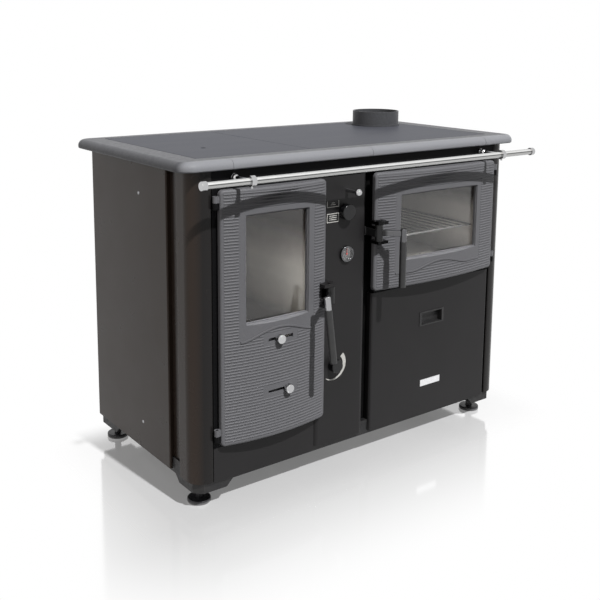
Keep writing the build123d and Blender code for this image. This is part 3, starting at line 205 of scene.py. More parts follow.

# ---------------------------------------------------------------- base frame and feet
# Black painted channel rails with a bracket at each corner, and four blackened steel levelling
# feet with a painted highlight as a bright band round their rim at the floor, whose studs turn in
# the brackets' bosses.


def blank_finish(name, colour, roughness, metallic=0.0, specular=0.5):
    """A material with one shader; its patterns read the piece's Object coordinates."""
    finish = bpy.data.materials.new(name)
    finish.use_nodes = True
    shader = finish.node_tree.nodes["Principled BSDF"]
    shader.inputs["Base Color"].default_value = (*colour, 1.0)
    shader.inputs["Roughness"].default_value = roughness
    shader.inputs["Metallic"].default_value = metallic
    shader.inputs["Specular IOR Level"].default_value = specular
    return finish, shader


def object_place(finish, stretch=(1.0, 1.0, 1.0)):
    """Where a point is on its piece, in metres, stretched along the axes."""
    tree = finish.node_tree
    where = tree.nodes.new("ShaderNodeTexCoord")
    mapping = tree.nodes.new("ShaderNodeMapping")
    mapping.inputs["Scale"].default_value = stretch
    tree.links.new(where.outputs["Object"], mapping.inputs["Vector"])
    return mapping.outputs["Vector"]


def cloudy(finish, scale, detail=3.0, stretch=(1.0, 1.0, 1.0)):
    """Soft irregular noise, with scale patches to the metre."""
    tree = finish.node_tree
    noise = tree.nodes.new("ShaderNodeTexNoise")
    noise.inputs["Scale"].default_value = scale
    noise.inputs["Detail"].default_value = detail
    tree.links.new(object_place(finish, stretch), noise.inputs["Vector"])
    return noise.outputs["Fac"]


def pebbled(finish, scale):
    """Small rounded cells, as in cast or sprayed surfaces."""
    tree = finish.node_tree
    cells = tree.nodes.new("ShaderNodeTexVoronoi")
    cells.inputs["Scale"].default_value = scale
    tree.links.new(object_place(finish), cells.inputs["Vector"])
    return cells.outputs["Distance"]


def along(finish, axis):
    """How far along an axis a point is on its piece, in metres."""
    tree = finish.node_tree
    split = tree.nodes.new("ShaderNodeSeparateXYZ")
    tree.links.new(object_place(finish), split.inputs["Vector"])
    return split.outputs[axis]


def spanned(finish, value, start, stop, low=0.0, high=1.0, easing="LINEAR"):
    """Turns a value that goes from start to stop into one that goes from low to high."""
    span = finish.node_tree.nodes.new("ShaderNodeMapRange")
    span.interpolation_type = easing
    span.inputs["From Min"].default_value = start
    span.inputs["From Max"].default_value = stop
    span.inputs["To Min"].default_value = low
    span.inputs["To Max"].default_value = high
    finish.node_tree.links.new(value, span.inputs["Value"])
    return span.outputs["Result"]


def unsettled(finish, value, scale, detail, amount):
    """A value with soft noise of 0 to an amount added."""
    tree = finish.node_tree
    total = tree.nodes.new("ShaderNodeMath")
    total.operation = "MULTIPLY_ADD"
    total.inputs[1].default_value = amount
    tree.links.new(cloudy(finish, scale, detail), total.inputs[0])
    tree.links.new(value, total.inputs[2])
    return total.outputs[0]


def striped(finish, shader, pattern, stops):
    """The base colour follows (place, colour) stops along a pattern."""
    ramp = finish.node_tree.nodes.new("ShaderNodeValToRGB")
    marks = ramp.color_ramp.elements
    for k in (0, -1):
        marks[k].position = stops[k][0]
        marks[k].color = (*stops[k][1], 1.0)
    for place, colour in stops[1:-1]:
        marks.new(place).color = (*colour, 1.0)
    finish.node_tree.links.new(pattern, ramp.inputs["Fac"])
    finish.node_tree.links.new(ramp.outputs["Color"], shader.inputs["Base Color"])


def tinted(finish, shader, pattern, dark, light, low=0.35, high=0.65):
    """The base colour runs from dark to light along a pattern."""
    striped(finish, shader, pattern, ((low, dark), (high, light)))


def worn(finish, shader, pattern, low, high, ends=(0.3, 0.7)):
    """The roughness runs from low to high along a pattern."""
    rough = spanned(finish, pattern, *ends, low, high)
    finish.node_tree.links.new(rough, shader.inputs["Roughness"])


def raised(finish, shader, pattern, depth, strength):
    """The pattern stands out of the surface by depth metres."""
    bump = finish.node_tree.nodes.new("ShaderNodeBump")
    bump.inputs["Strength"].default_value = strength
    bump.inputs["Distance"].default_value = depth
    finish.node_tree.links.new(pattern, bump.inputs["Height"])
    finish.node_tree.links.new(bump.outputs["Normal"], shader.inputs["Normal"])


def coat(finish, *names):
    """Gives a finish to CAD nodes."""
    for name in names:
        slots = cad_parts[name].data.materials
        slots.clear()
        slots.append(finish)


def black_paint():
    """Thick black paint with small pebbles in it."""
    finish, shader = blank_finish("black_paint", (0.016, 0.016, 0.017), 0.5, specular=0.35)
    tinted(finish, shader, cloudy(finish, 30), (0.011, 0.011, 0.012), (0.022, 0.021, 0.021))
    worn(finish, shader, cloudy(finish, 90), 0.42, 0.62)
    raised(finish, shader, pebbled(finish, 900), 0.00012, 0.5)
    return finish


def foot_steel():
    """Blackened steel, with a painted highlight as a bright band round its rim at the floor."""
    finish, shader = blank_finish("foot_steel", (0.02, 0.02, 0.022), 0.36, specular=0.4)
    # Painted highlight: a bright band a few millimetres up from the floor, black above it.
    bright, black = (0.3, 0.3, 0.31), (0.016, 0.016, 0.019)
    tinted(finish, shader, along(finish, "Z"), bright, black, low=0.003, high=0.0055)
    worn(finish, shader, cloudy(finish, 60), 0.3, 0.46)
    raised(finish, shader, cloudy(finish, 900, 2), 0.00004, 0.5)
    return finish


coat(black_paint(), "base_frame")
coat(foot_steel(), "foot_front_left", "foot_front_right", "foot_rear_left", "foot_rear_right")

# ---------------------------------------------------------------- outer case
# Folded steel posts and side panels in warm dark enamel with a fine orange peel, the posts painted
# darker and neutral round their fronts as shade, and front sheets in a more neutral satin enamel.
# The fascia under the worktop is painted near black as shade. The sides are held by domed
# cross-recess screws.


def baked_enamel(name, dark, light, gloss, mirror=0.19):
    """Stove enamel: nearly even dark colour, a very fine orange peel and an even gloss."""
    finish, shader = blank_finish(name, light, gloss, specular=mirror)
    tinted(finish, shader, cloudy(finish, 4, 5), dark, light, 0.3, 0.7)
    worn(finish, shader, cloudy(finish, 12), gloss - 0.03, gloss + 0.04)
    raised(finish, shader, cloudy(finish, 420, 2), 0.00002, 0.25)
    return finish


def galvanised_sheet():
    """Zinc coated sheet with its flat crystals, each a slightly different grey."""
    finish, shader = blank_finish("galvanised_sheet", (0.3, 0.31, 0.32), 0.45, metallic=0.6)
    tree = finish.node_tree
    spangle = tree.nodes.new("ShaderNodeTexVoronoi")
    spangle.inputs["Scale"].default_value = 85
    tree.links.new(object_place(finish), spangle.inputs["Vector"])
    grey = tree.nodes.new("ShaderNodeSeparateColor")
    tree.links.new(spangle.outputs["Color"], grey.inputs["Color"])
    dark, light = (0.25, 0.256, 0.262), (0.32, 0.327, 0.335)
    tinted(finish, shader, grey.outputs["Red"], dark, light, 0.0, 1.0)
    worn(finish, shader, grey.outputs["Green"], 0.38, 0.5, (0.0, 1.0))
    raised(finish, shader, cloudy(finish, 300, 3), 0.00003, 0.3)
    return finish


def post_enamel_painted_shade():
    """The side panels' warm enamel on the posts' flanks, with painted shade turning it dark and
    neutral round to the front.
    """
    finish, shader = blank_finish("post_enamel_painted_shade", (0.02, 0.018, 0.017), 0.26, specular=0.17)
    tree = finish.node_tree
    outward = tree.nodes.new("ShaderNodeMath")
    outward.operation = "ABSOLUTE"
    tree.links.new(along(finish, "X"), outward.inputs[0])
    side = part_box("right_corner_post")[1].x
    flank = spanned(finish, outward.outputs[0], side - 0.028, side - 0.004)
    # Painted shade: dark and neutral round the post's front, the panels' warm enamel on its flank.
    neutral, warm = (0.0175, 0.016, 0.0158), (0.05, 0.035, 0.027)
    tinted(finish, shader, flank, neutral, warm, 0.0, 1.0)
    worn(finish, shader, cloudy(finish, 12), 0.22, 0.3)
    raised(finish, shader, cloudy(finish, 420, 2), 0.00002, 0.25)
    return finish


side_enamel = baked_enamel(
    "side_enamel", (0.042, 0.0285, 0.021), (0.05, 0.035, 0.0265), 0.3, 0.16
)
front_enamel = baked_enamel(
    "front_enamel", (0.0165, 0.0157, 0.0163), (0.0205, 0.0195, 0.0202), 0.4
)
# Painted shade: the fascia under the worktop is made near black as the worktop's shade on it.
painted_shade_enamel = baked_enamel(
    "painted_shade_enamel", (0.005, 0.005, 0.0055), (0.0075, 0.0075, 0.008), 0.5, 0.06
)
coat(side_enamel, "left_side_panel", "right_side_panel")
coat(post_enamel_painted_shade(), "left_corner_post", "right_corner_post")
coat(front_enamel, "centre_column", "plinth_panel", "drawer_front")
coat(painted_shade_enamel, "fascia_panel")
coat(galvanised_sheet(), "back_panel")


def set_inputs(modifier, values):
    """Sets a Geometry Nodes modifier's named inputs by their socket identifiers."""
    for item in modifier.node_group.interface.items_tree:
        if item.item_type == "SOCKET" and item.in_out == "INPUT" and item.name in values:
            modifier[item.identifier] = values[item.name]


def grown(name, points, edges, tree, values):
    """Runs a Geometry Nodes tree on points and edges, and returns the plain mesh it makes."""
    seed_mesh = bpy.data.meshes.new(name + "_seed")
    seed_mesh.from_pydata(points, edges, [])
    piece = bpy.data.objects.new(name, seed_mesh)
    bpy.context.scene.collection.objects.link(piece)
    modifier = piece.modifiers.new("grow", "NODES")
    modifier.node_group = tree
    set_inputs(modifier, values)
    shown = piece.evaluated_get(bpy.context.evaluated_depsgraph_get())
    mesh = bpy.data.meshes.new_from_object(shown)
    mesh.name = name
    piece.modifiers.remove(modifier)
    piece.data = mesh
    bpy.data.meshes.remove(seed_mesh)
    return piece


def placed_tree(name, sizes):
    """A Geometry Nodes tree with float inputs; returns the tree, its input and output nodes."""
    tree = bpy.data.node_groups.new(name, "GeometryNodeTree")
    tree.interface.new_socket("Geometry", in_out="INPUT", socket_type="NodeSocketGeometry")
    for size in sizes:
        tree.interface.new_socket(size, in_out="INPUT", socket_type="NodeSocketFloat")
    tree.interface.new_socket("Finish", in_out="INPUT", socket_type="NodeSocketMaterial")
    tree.interface.new_socket("Geometry", in_out="OUTPUT", socket_type="NodeSocketGeometry")
    return tree, tree.nodes.new("NodeGroupInput"), tree.nodes.new("NodeGroupOutput")


def painted_result(tree, enter, leave, geometry):
    """Turns a tree's geometry into one real mesh with the tree's finish, and sends it out."""
    real = tree.nodes.new("GeometryNodeRealizeInstances")
    tree.links.new(geometry, real.inputs["Geometry"])
    paint = tree.nodes.new("GeometryNodeSetMaterial")
    tree.links.new(real.outputs["Geometry"], paint.inputs["Geometry"])
    tree.links.new(enter.outputs["Finish"], paint.inputs["Material"])
    tree.links.new(paint.outputs["Geometry"], leave.inputs["Geometry"])


def screw_head(name):
    """A domed screw head with a cross recess, standing on +Z at the origin, closed underneath."""
    radius, height, buried = 0.0045, 0.0022, 0.0004
    recess, recess_edge = height * 0.45, height * 0.55
    rings, around = 6, 24
    shape = bmesh.new()
    loops = [[shape.verts.new((0, 0, recess))]]
    for k in range(1, rings):
        share = k / (rings - 1)
        level = height * math.sqrt(max(0.0, 1 - share * share))
        loops.append([
            shape.verts.new((
                radius * share * math.cos(2 * math.pi * j / around),
                radius * share * math.sin(2 * math.pi * j / around),
                level,
            ))
            for j in range(around)
        ])
    for j, vert in enumerate(loops[1]):
        if j % 6 in (0, 1, 5):
            vert.co.z = recess_edge
    loops.append([shape.verts.new((v.co.x, v.co.y, -buried)) for v in loops[-1]])
    for j in range(around):
        n = (j + 1) % around
        shape.faces.new((loops[0][0], loops[1][j], loops[1][n]))
        for inner, outer in zip(loops[1:], loops[2:]):
            shape.faces.new((inner[j], outer[j], outer[n], inner[n]))
    shape.faces.new(loops[-1][::-1])
    bmesh.ops.recalc_face_normals(shape, faces=shape.faces)
    mesh = bpy.data.meshes.new(name)
    shape.to_mesh(mesh)
    shape.free()
    return mesh


def screw_tree():
    """Puts a turned copy of a screw head on every point, looking out along the side."""
    tree, enter, leave = placed_tree("panel_screw_tree", ["Side turn"])
    tree.interface.new_socket("Head", in_out="INPUT", socket_type="NodeSocketObject")
    head = tree.nodes.new("GeometryNodeObjectInfo")
    tree.links.new(enter.outputs["Head"], head.inputs["Object"])
    copies = tree.nodes.new("GeometryNodeInstanceOnPoints")
    tree.links.new(enter.outputs["Geometry"], copies.inputs["Points"])
    tree.links.new(head.outputs["Geometry"], copies.inputs["Instance"])
    face = tree.nodes.new("ShaderNodeCombineXYZ")
    tree.links.new(enter.outputs["Side turn"], face.inputs["Y"])
    tree.links.new(face.outputs["Vector"], copies.inputs["Rotation"])
    painted_result(tree, enter, leave, copies.outputs["Instances"])
    return tree


def panel_screws():
    """Two screws in each side panel, one high and one low."""
    finish, shader = blank_finish("screw_steel", (0.3, 0.3, 0.31), 0.3, metallic=1.0)
    tinted(finish, shader, cloudy(finish, 500), (0.22, 0.22, 0.23), (0.36, 0.36, 0.37))
    worn(finish, shader, cloudy(finish, 300), 0.22, 0.4)
    head = bpy.data.objects.new("screw_head_shape", screw_head("screw_head_shape"))
    bpy.context.scene.collection.objects.link(head)
    tree = screw_tree()
    screw_y, high, low = 0.032, 0.765, 0.148
    left_face, right_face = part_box("left_side_panel")[0].x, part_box("right_side_panel")[1].x
    for side, face, name in (
        (-1, left_face, "left_panel_screws"),
        (1, right_face, "right_panel_screws"),
    ):
        points = [(face, screw_y, high), (face, screw_y, low)]
        values = {"Side turn": side * math.pi / 2, "Head": head, "Finish": finish}
        screws = grown(name, points, [], tree, values)
        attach(screws, "stove")
    bpy.data.objects.remove(head)


panel_screws()

# ---------------------------------------------------------------- worktop
# Cast iron rim bars and ends, dark on top with a painted highlight along the rounded front, round
# two ground cooking plates, with the cast flue collar set in the right one.


def sandy_cast(name, dark, light, rough, grain=0.00012, gloss=0.3):
    """Painted or bare cast iron: a fine sandy skin with small lighter and darker specks."""
    finish, shader = blank_finish(name, light, rough, specular=gloss)
    tinted(finish, shader, cloudy(finish, 520, 3), dark, light, 0.34, 0.66)
    worn(finish, shader, cloudy(finish, 90, 3), rough - 0.04, rough + 0.06)
    raised(finish, shader, cloudy(finish, 800, 3), grain, 0.5)
    return finish


def ground_plate():
    """Cooking plates ground flat and blackened, with the grinding's faint lay along the top."""
    finish, shader = blank_finish("ground_plate", (0.06, 0.062, 0.07), 0.5, specular=0.06)
    lay = cloudy(finish, 16, 4, (0.2, 1.0, 1.0))
    tinted(finish, shader, lay, (0.064, 0.067, 0.08), (0.086, 0.089, 0.104), 0.3, 0.7)
    worn(finish, shader, lay, 0.46, 0.54)
    raised(finish, shader, cloudy(finish, 900, 2, (0.12, 1.0, 1.0)), 0.00002, 0.25)
    return finish


def rim_cast():
    """The plates' dark cast skin, with a painted highlight in lighter grey along the rounded
    front.
    """
    finish, shader = blank_finish("rim_cast", (0.1, 0.102, 0.11), 0.45, specular=0.2)
    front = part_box("rim_bars")[0].y
    # Painted highlight: lighter grey along the rim's rounded front, dark behind it.
    painted_front_highlight = spanned(
        finish, along(finish, "Y"), front + 0.034, front + 0.012, 0.08, 0.85, "SMOOTHSTEP"
    )
    grain = unsettled(finish, painted_front_highlight, 420, 3, 0.3)
    tinted(finish, shader, grain, (0.075, 0.076, 0.083), (0.29, 0.295, 0.315), 0.12, 1.0)
    worn(finish, shader, cloudy(finish, 90, 3), 0.4, 0.52)
    raised(finish, shader, cloudy(finish, 800, 3), 0.00015, 0.5)
    return finish


collar_cast = sandy_cast(
    "collar_cast", (0.06, 0.061, 0.066), (0.11, 0.112, 0.12), 0.45, 0.0002, 0.2
)
coat(rim_cast(), "rim_left_end", "rim_right_end", "rim_bars")
coat(ground_plate(), "hotplate_left", "hotplate_right")
coat(collar_cast, "flue_collar")

# ---------------------------------------------------------------- boiler, firebox and ash pan
# A welded steel water jacket behind a cast door frame painted near black as shade, with a cast
# grate, pale fire bricks with a painted band of light and painted shade at their top, and a sheet
# steel ash pan. Threaded sockets for the pipes are welded to its back.


def mill_steel(name, dark, light, rough, bare=0.6):
    """Rolled steel, cloudy and a little uneven."""
    finish, shader = blank_finish(name, light, rough, metallic=bare, specular=0.2 * bare)
    tinted(finish, shader, cloudy(finish, 22, 6), dark, light)
    worn(finish, shader, cloudy(finish, 60, 4), rough - 0.1, rough + 0.12)
    raised(finish, shader, cloudy(finish, 260, 4), 0.0001, 0.4)
    return finish


def painted_light_by_height(finish, shader, stops):
    """The base colour follows (height, colour) stops up the piece, a little unevenly: painted
    light and shade.
    """
    drift = 0.02
    height = unsettled(finish, along(finish, "Z"), 30, 4, drift)
    striped(finish, shader, height, [(place + drift / 2, colour) for place, colour in stops])


def fire_brick():
    """Pale firebrick with a painted band of light across its middle and painted shade at its top;
    it is also darker towards its foot.
    """
    finish, shader = blank_finish("fire_brick", (0.42, 0.39, 0.35), 0.85, specular=0.1)
    # Painted light and shade: bright across the middle, dark at the top, darker at the foot.
    painted_light_by_height(finish, shader, (
        (0.42, (0.2, 0.185, 0.17)),
        (0.46, (0.6, 0.57, 0.52)),
        (0.53, (0.95, 0.92, 0.86)),
        (0.57, (0.93, 0.89, 0.83)),
        (0.62, (0.5, 0.46, 0.43)),
        (0.68, (0.1, 0.085, 0.075)),
    ))
    worn(finish, shader, cloudy(finish, 60), 0.8, 0.92)
    raised(finish, shader, cloudy(finish, 260, 3), 0.0001, 0.4)
    return finish


coat(mill_steel("boiler_plate", (0.05, 0.046, 0.043), (0.12, 0.115, 0.11), 0.55), "boiler_shell")
coat(mill_steel("socket_steel", (0.14, 0.135, 0.13), (0.25, 0.245, 0.24), 0.42), "water_sockets")
coat(mill_steel("pan_steel", (0.1, 0.1, 0.105), (0.2, 0.2, 0.205), 0.45), "ash_pan")
# Painted shade: the door frame is near black as the shade round the fire door; the grate shares
# it.
painted_shade_cast = sandy_cast(
    "painted_shade_cast", (0.005, 0.005, 0.0055), (0.009, 0.009, 0.0095), 0.55, 0.0002, 0.06
)
coat(painted_shade_cast, "firebox_front_frame", "fire_grate")
coat(fire_brick(), "firebox_lining")

# ---------------------------------------------------------------- oven
# An enamelled oven box with painted shade under its roof and a painted band of light on its walls,
# with a wire shelf, in a sheet steel carcass painted near black as shade. The drawer's box and
# runners under it are plain sheet too.


def grey_vitreous():
    """Grey glassy enamel with a painted band of light across it, painted shade towards the oven's
    roof, and darker towards its floor.
    """
    finish, shader = blank_finish("grey_vitreous", (0.34, 0.33, 0.315), 0.3, specular=0.3)
    # Painted light and shade: a bright band, dark under the roof, dimmer at the floor.
    painted_light_by_height(finish, shader, (
        (0.52, (0.3, 0.29, 0.275)),
        (0.58, (0.66, 0.63, 0.6)),
        (0.66, (0.5, 0.475, 0.45)),
        (0.7, (0.07, 0.063, 0.057)),
    ))
    worn(finish, shader, cloudy(finish, 40), 0.26, 0.36)
    raised(finish, shader, cloudy(finish, 500, 2), 0.00002, 0.3)
    return finish


def polished_chrome():
    """Bright chrome, hardly uneven."""
    finish, shader = blank_finish("polished_chrome", (0.5, 0.5, 0.505), 0.14, metallic=1.0)
    tinted(finish, shader, cloudy(finish, 8, 2), (0.48, 0.48, 0.485), (0.52, 0.52, 0.525))
    worn(finish, shader, cloudy(finish, 30, 3), 0.1, 0.16)
    raised(finish, shader, cloudy(finish, 300, 2), 0.000004, 0.2)
    return finish


chrome = polished_chrome()
coat(grey_vitreous(), "oven_box")
coat(mill_steel("rack_wire", (0.16, 0.16, 0.16), (0.24, 0.24, 0.24), 0.35), "oven_rack")
# Painted shade: the carcass round the oven door is near black as shade; the drawer's runners share
# it.
painted_shade_sheet = mill_steel(
    "painted_shade_sheet", (0.005, 0.005, 0.0052), (0.01, 0.0098, 0.0098), 0.5, 0.3
)
coat(painted_shade_sheet, "oven_carcass", "drawer_runners")
coat(mill_steel("drawer_sheet", (0.09, 0.088, 0.085), (0.17, 0.167, 0.162), 0.42), "drawer_box")

# ---------------------------------------------------------------- fire door
# A bowed iron casting painted grey, with fine cast ribs across it that stop at a smooth border
# round the window and at the swept ridge, a clipped pane, and two air slides.


def door_face(x, left, right):
    """How far forward of the case a door's bowed face stands at x, in metres."""
    edge, crown = 0.017, 0.037
    half = (right - left) / 2
    depth = crown - edge
    radius = (half * half + depth * depth) / (2 * depth)
    middle = (left + right) / 2
    return crown - radius + math.sqrt(radius * radius - (x - middle) ** 2)


def rib_tree():
    """A round bar swept along every edge path, with closed ends."""
    tree, enter, leave = placed_tree("door_rib_tree", ["Rib radius", "Step"])
    tree.interface.new_socket("Rib sides", in_out="INPUT", socket_type="NodeSocketInt")
    path = tree.nodes.new("GeometryNodeMeshToCurve")
    tree.links.new(enter.outputs["Geometry"], path.inputs["Mesh"])
    even = tree.nodes.new("GeometryNodeResampleCurve")
    even.mode = "LENGTH"
    tree.links.new(path.outputs["Curve"], even.inputs["Curve"])
    tree.links.new(enter.outputs["Step"], even.inputs["Length"])
    section = tree.nodes.new("GeometryNodeCurvePrimitiveCircle")
    tree.links.new(enter.outputs["Rib sides"], section.inputs["Resolution"])
    tree.links.new(enter.outputs["Rib radius"], section.inputs["Radius"])
    bar = tree.nodes.new("GeometryNodeCurveToMesh")
    bar.inputs["Fill Caps"].default_value = True
    tree.links.new(even.outputs["Curve"], bar.inputs["Curve"])
    tree.links.new(section.outputs["Curve"], bar.inputs["Profile Curve"])
    painted_result(tree, enter, leave, bar.outputs["Mesh"])
    return tree


rib_sweep = rib_tree()
case_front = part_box("right_corner_post")[0].y
door_cast = sandy_cast("door_cast", (0.15, 0.15, 0.16), (0.18, 0.18, 0.191), 0.42, 0.00006, 0.2)


def cast_ribs(name, body, left, right, low, high, bare):
    """Cast ribs across a door's face. bare(x, z) says where the casting is smooth."""
    pitch, radius, sunk, margin, step, rib_step = 0.0075, 0.0024, 0.0013, 0.009, 0.003, 0.009
    fewest_points = 5
    points, edges = [], []

    def finish_rib(run):
        """Joins one unbroken rib's points, unless it is too short to be worth casting."""
        if len(run) >= fewest_points:
            first = len(points)
            points.extend(run)
            edges.extend((first + k, first + k + 1) for k in range(len(run) - 1))

    z = low + margin + pitch / 2
    while z < high - margin:
        run = []
        x = left + margin
        while x < right - margin + 1e-6:
            if bare(x, z):
                finish_rib(run)
                run = []
            else:
                run.append((x, case_front - door_face(x, left, right) + sunk, z))
            x += step
        finish_rib(run)
        z += pitch
    values = {"Rib radius": radius, "Step": rib_step, "Rib sides": 8, "Finish": door_cast}
    ribs = grown(name, points, edges, rib_sweep, values)
    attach(ribs, body)


def ridge_height(x, middle, low, high):
    """Height of the ridge under a door's window at x."""
    reach, steepness = 0.1, 1.3
    away = min(1.0, abs(x - middle) / reach)
    return low + (high - low) * math.cos(math.pi / 2 * away) ** steepness


def smooth_border(x, z, left, right, half_window, low, high):
    """True on the smooth border round a door's window, down to the swept ridge under it."""
    border, border_top, under_ridge = 0.0185, 0.7605, 0.005
    middle = (left + right) / 2
    if abs(x - middle) > half_window + border:
        return False
    return ridge_height(x, middle, low, high) - under_ridge < z < border_top


fire_left, fire_right, fire_low, fire_high = -0.476, -0.158, 0.167, 0.805


def fire_door_bare(x, z):
    """Smooth round the window, at the two air slots, and behind the latch."""
    if smooth_border(x, z, fire_left, fire_right, half_window=0.093, low=0.428, high=0.452):
        return True
    slot_left, slot_right, slot_half = -0.364, -0.261, 0.0145
    for slot_z in (0.421, 0.286):
        if slot_left < x < slot_right and abs(z - slot_z) < slot_half:
            return True
    latch_left, latch_z, latch_half = -0.174, 0.505, 0.038
    return x > latch_left and abs(z - latch_z) < latch_half


cast_ribs(
    "fire_door_ribs", "fire_door_body", fire_left, fire_right, fire_low, fire_high, fire_door_bare
)


def stove_glass(name, colour):
    """A clear ceramic pane; lamps shine straight through it."""
    finish, shader = blank_finish(name, colour, 0.03)
    shader.inputs["Transmission Weight"].default_value = 1.0
    shader.inputs["IOR"].default_value = 1.45
    shader.inputs["Specular IOR Level"].default_value = 0.25
    worn(finish, shader, cloudy(finish, 25, 4), 0.015, 0.05)
    tree = finish.node_tree
    clear = coloured(tree, "ShaderNodeBsdfTransparent", colour)
    rays = tree.nodes.new("ShaderNodeLightPath")
    either = mixed(tree, rays.outputs["Is Shadow Ray"], shader, clear)
    tree.links.new(either.outputs[0], tree.nodes["Material Output"].inputs["Surface"])
    return finish


def woven_rope():
    """Glass fibre rope with its diagonal weave."""
    finish, shader = blank_finish("woven_rope", (0.25, 0.24, 0.22), 0.9, specular=0.1)
    tree = finish.node_tree
    weave = tree.nodes.new("ShaderNodeTexWave")
    weave.wave_type = "BANDS"
    weave.bands_direction = "DIAGONAL"
    weave.inputs["Scale"].default_value = 90
    weave.inputs["Distortion"].default_value = 3
    tree.links.new(object_place(finish), weave.inputs["Vector"])
    tinted(finish, shader, weave.outputs["Fac"], (0.12, 0.115, 0.105), (0.3, 0.29, 0.27), 0.1, 0.9)
    worn(finish, shader, cloudy(finish, 300), 0.85, 0.98)
    raised(finish, shader, weave.outputs["Fac"], 0.0009, 0.8)
    return finish


def brushed_steel(name, dark, light, rough):
    """Bare metal, brushed upright."""
    finish, shader = blank_finish(name, light, rough, metallic=1.0)
    tinted(finish, shader, cloudy(finish, 240, 4), dark, light)
    worn(finish, shader, cloudy(finish, 90, 4), rough - 0.08, rough + 0.1)
    raised(finish, shader, cloudy(finish, 1400, 2, (1.0, 1.0, 0.1)), 0.00002, 0.5)
    return finish


def half_bare_steel(name, black_x, bare_x, bare_grey):
    """A cast lever: dark paint at its hub and bare steel at its stub, changing along X."""
    finish, shader = blank_finish(name, bare_grey, 0.32, specular=0.3)
    bare = spanned(finish, along(finish, "X"), black_x, bare_x)
    finish.node_tree.links.new(bare, shader.inputs["Metallic"])
    tinted(finish, shader, bare, (0.014, 0.014, 0.0145), bare_grey, 0.0, 1.0)
    worn(finish, shader, cloudy(finish, 90, 4), 0.26, 0.38)
    raised(finish, shader, cloudy(finish, 900, 2), 0.00003, 0.4)
    return finish


def moulded_plastic(name, dark, light, rough=0.5):
    """Moulded plastic with a very fine grain."""
    finish, shader = blank_finish(name, light, rough, specular=0.4)
    tinted(finish, shader, cloudy(finish, 60), dark, light)
    worn(finish, shader, cloudy(finish, 140), rough - 0.08, rough + 0.1)
    raised(finish, shader, pebbled(finish, 1500), 0.00005, 0.5)
    return finish


clear_pane = stove_glass("clear_pane", (0.98, 0.975, 0.965))
seal_rope = woven_rope()
satin_steel = brushed_steel("satin_steel", (0.24, 0.24, 0.245), (0.38, 0.38, 0.385), 0.36)
bracket_black = brushed_steel("bracket_black", (0.012, 0.012, 0.0125), (0.02, 0.02, 0.021), 0.3)
black_plastic = moulded_plastic("black_plastic", (0.014, 0.014, 0.015), (0.025, 0.0245, 0.0245))
grip_plastic = moulded_plastic("grip_plastic", (0.027, 0.027, 0.028), (0.034, 0.034, 0.034), 0.36)
coat(door_cast, "firebox_door", "oven_door")
coat(clear_pane, "firebox_glass", "oven_glass", "thermometer_glass")
coat(satin_steel, "firebox_glass_clips", "oven_glass_clips", "latch_strikers")
coat(seal_rope, "firebox_door_seal", "oven_door_seal")
coat(front_enamel, "firebox_latch_bracket")
coat(bracket_black, "oven_latch_bracket")
fire_lever_steel = half_bare_steel("fire_lever_steel", -0.182, -0.19, (0.36, 0.36, 0.37))
oven_lever_steel = half_bare_steel("oven_lever_steel", 0.013, 0.02, (0.13, 0.13, 0.135))
coat(fire_lever_steel, "firebox_handle_lever")
coat(oven_lever_steel, "oven_handle_lever")
coat(grip_plastic, "firebox_handle_grip", "oven_handle_grip")
coat(chrome, "upper_air_slide", "lower_air_slide")

# ---------------------------------------------------------------- oven door
# The same casting in a wider, lower shape over the fuel drawer. Its ribs stop at the window's
# border, at the ridge and behind the latch.

oven_left, oven_right, oven_low, oven_high = 0.008, 0.476, 0.481, 0.805


def oven_door_bare(x, z):
    """Smooth round the window and behind the latch."""
    if smooth_border(x, z, oven_left, oven_right, half_window=0.1485, low=0.523, high=0.542):
        return True
    latch_right, latch_z, latch_half = 0.024, 0.648, 0.038
    return x < latch_right and abs(z - latch_z) < latch_half


cast_ribs(
    "oven_door_ribs", "oven_door_body", oven_left, oven_right, oven_low, oven_high, oven_door_bare
)

# ---------------------------------------------------------------- controls
# A chromed ball on the damper's rod, gloss black knobs, a dark chromed thermometer, two printed
# marks, and the printed tapering scale round the lower draught knob.


def gloss_black():
    """Glossy black plastic."""
    finish, shader = blank_finish("gloss_black", (0.004, 0.004, 0.005), 0.14, specular=0.4)
    tinted(finish, shader, cloudy(finish, 90), (0.003, 0.003, 0.004), (0.006, 0.006, 0.007))
    worn(finish, shader, cloudy(finish, 200), 0.1, 0.2)
    raised(finish, shader, cloudy(finish, 500, 2), 0.00002, 0.4)
    return finish


def needle_paint():
    """Red paint on the thermometer's needle."""
    finish, shader = blank_finish("needle_paint", (0.35, 0.02, 0.015), 0.4)
    tinted(finish, shader, cloudy(finish, 900), (0.3, 0.015, 0.01), (0.42, 0.03, 0.02))
    return finish


coat(chrome, "damper_rod")
dark_chrome = brushed_steel("dark_chrome", (0.1, 0.1, 0.105), (0.17, 0.17, 0.175), 0.2)
coat(dark_chrome, "thermometer_case")
coat(gloss_black(), "regulator_knob", "draught_knob")
coat(needle_paint(), "thermometer_needle")


def white_print():
    """Thin white printing ink."""
    finish, shader = blank_finish("white_print", (0.75, 0.74, 0.7), 0.5)
    tinted(finish, shader, cloudy(finish, 700, 4), (0.6, 0.59, 0.56), (0.82, 0.81, 0.77))
    worn(finish, shader, cloudy(finish, 300), 0.4, 0.6)
    return finish


print_paint = white_print()
print_depth = 0.0002
column_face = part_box("centre_column")[0].y


def printed_piece(name, shape):
    """Turns a printed mark's shape into a piece on the stove."""
    mesh = bpy.data.meshes.new(name)
    shape.to_mesh(mesh)
    shape.free()
    mesh.materials.append(print_paint)
    piece = bpy.data.objects.new(name, mesh)
    bpy.context.scene.collection.objects.link(piece)
    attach(piece, "stove")


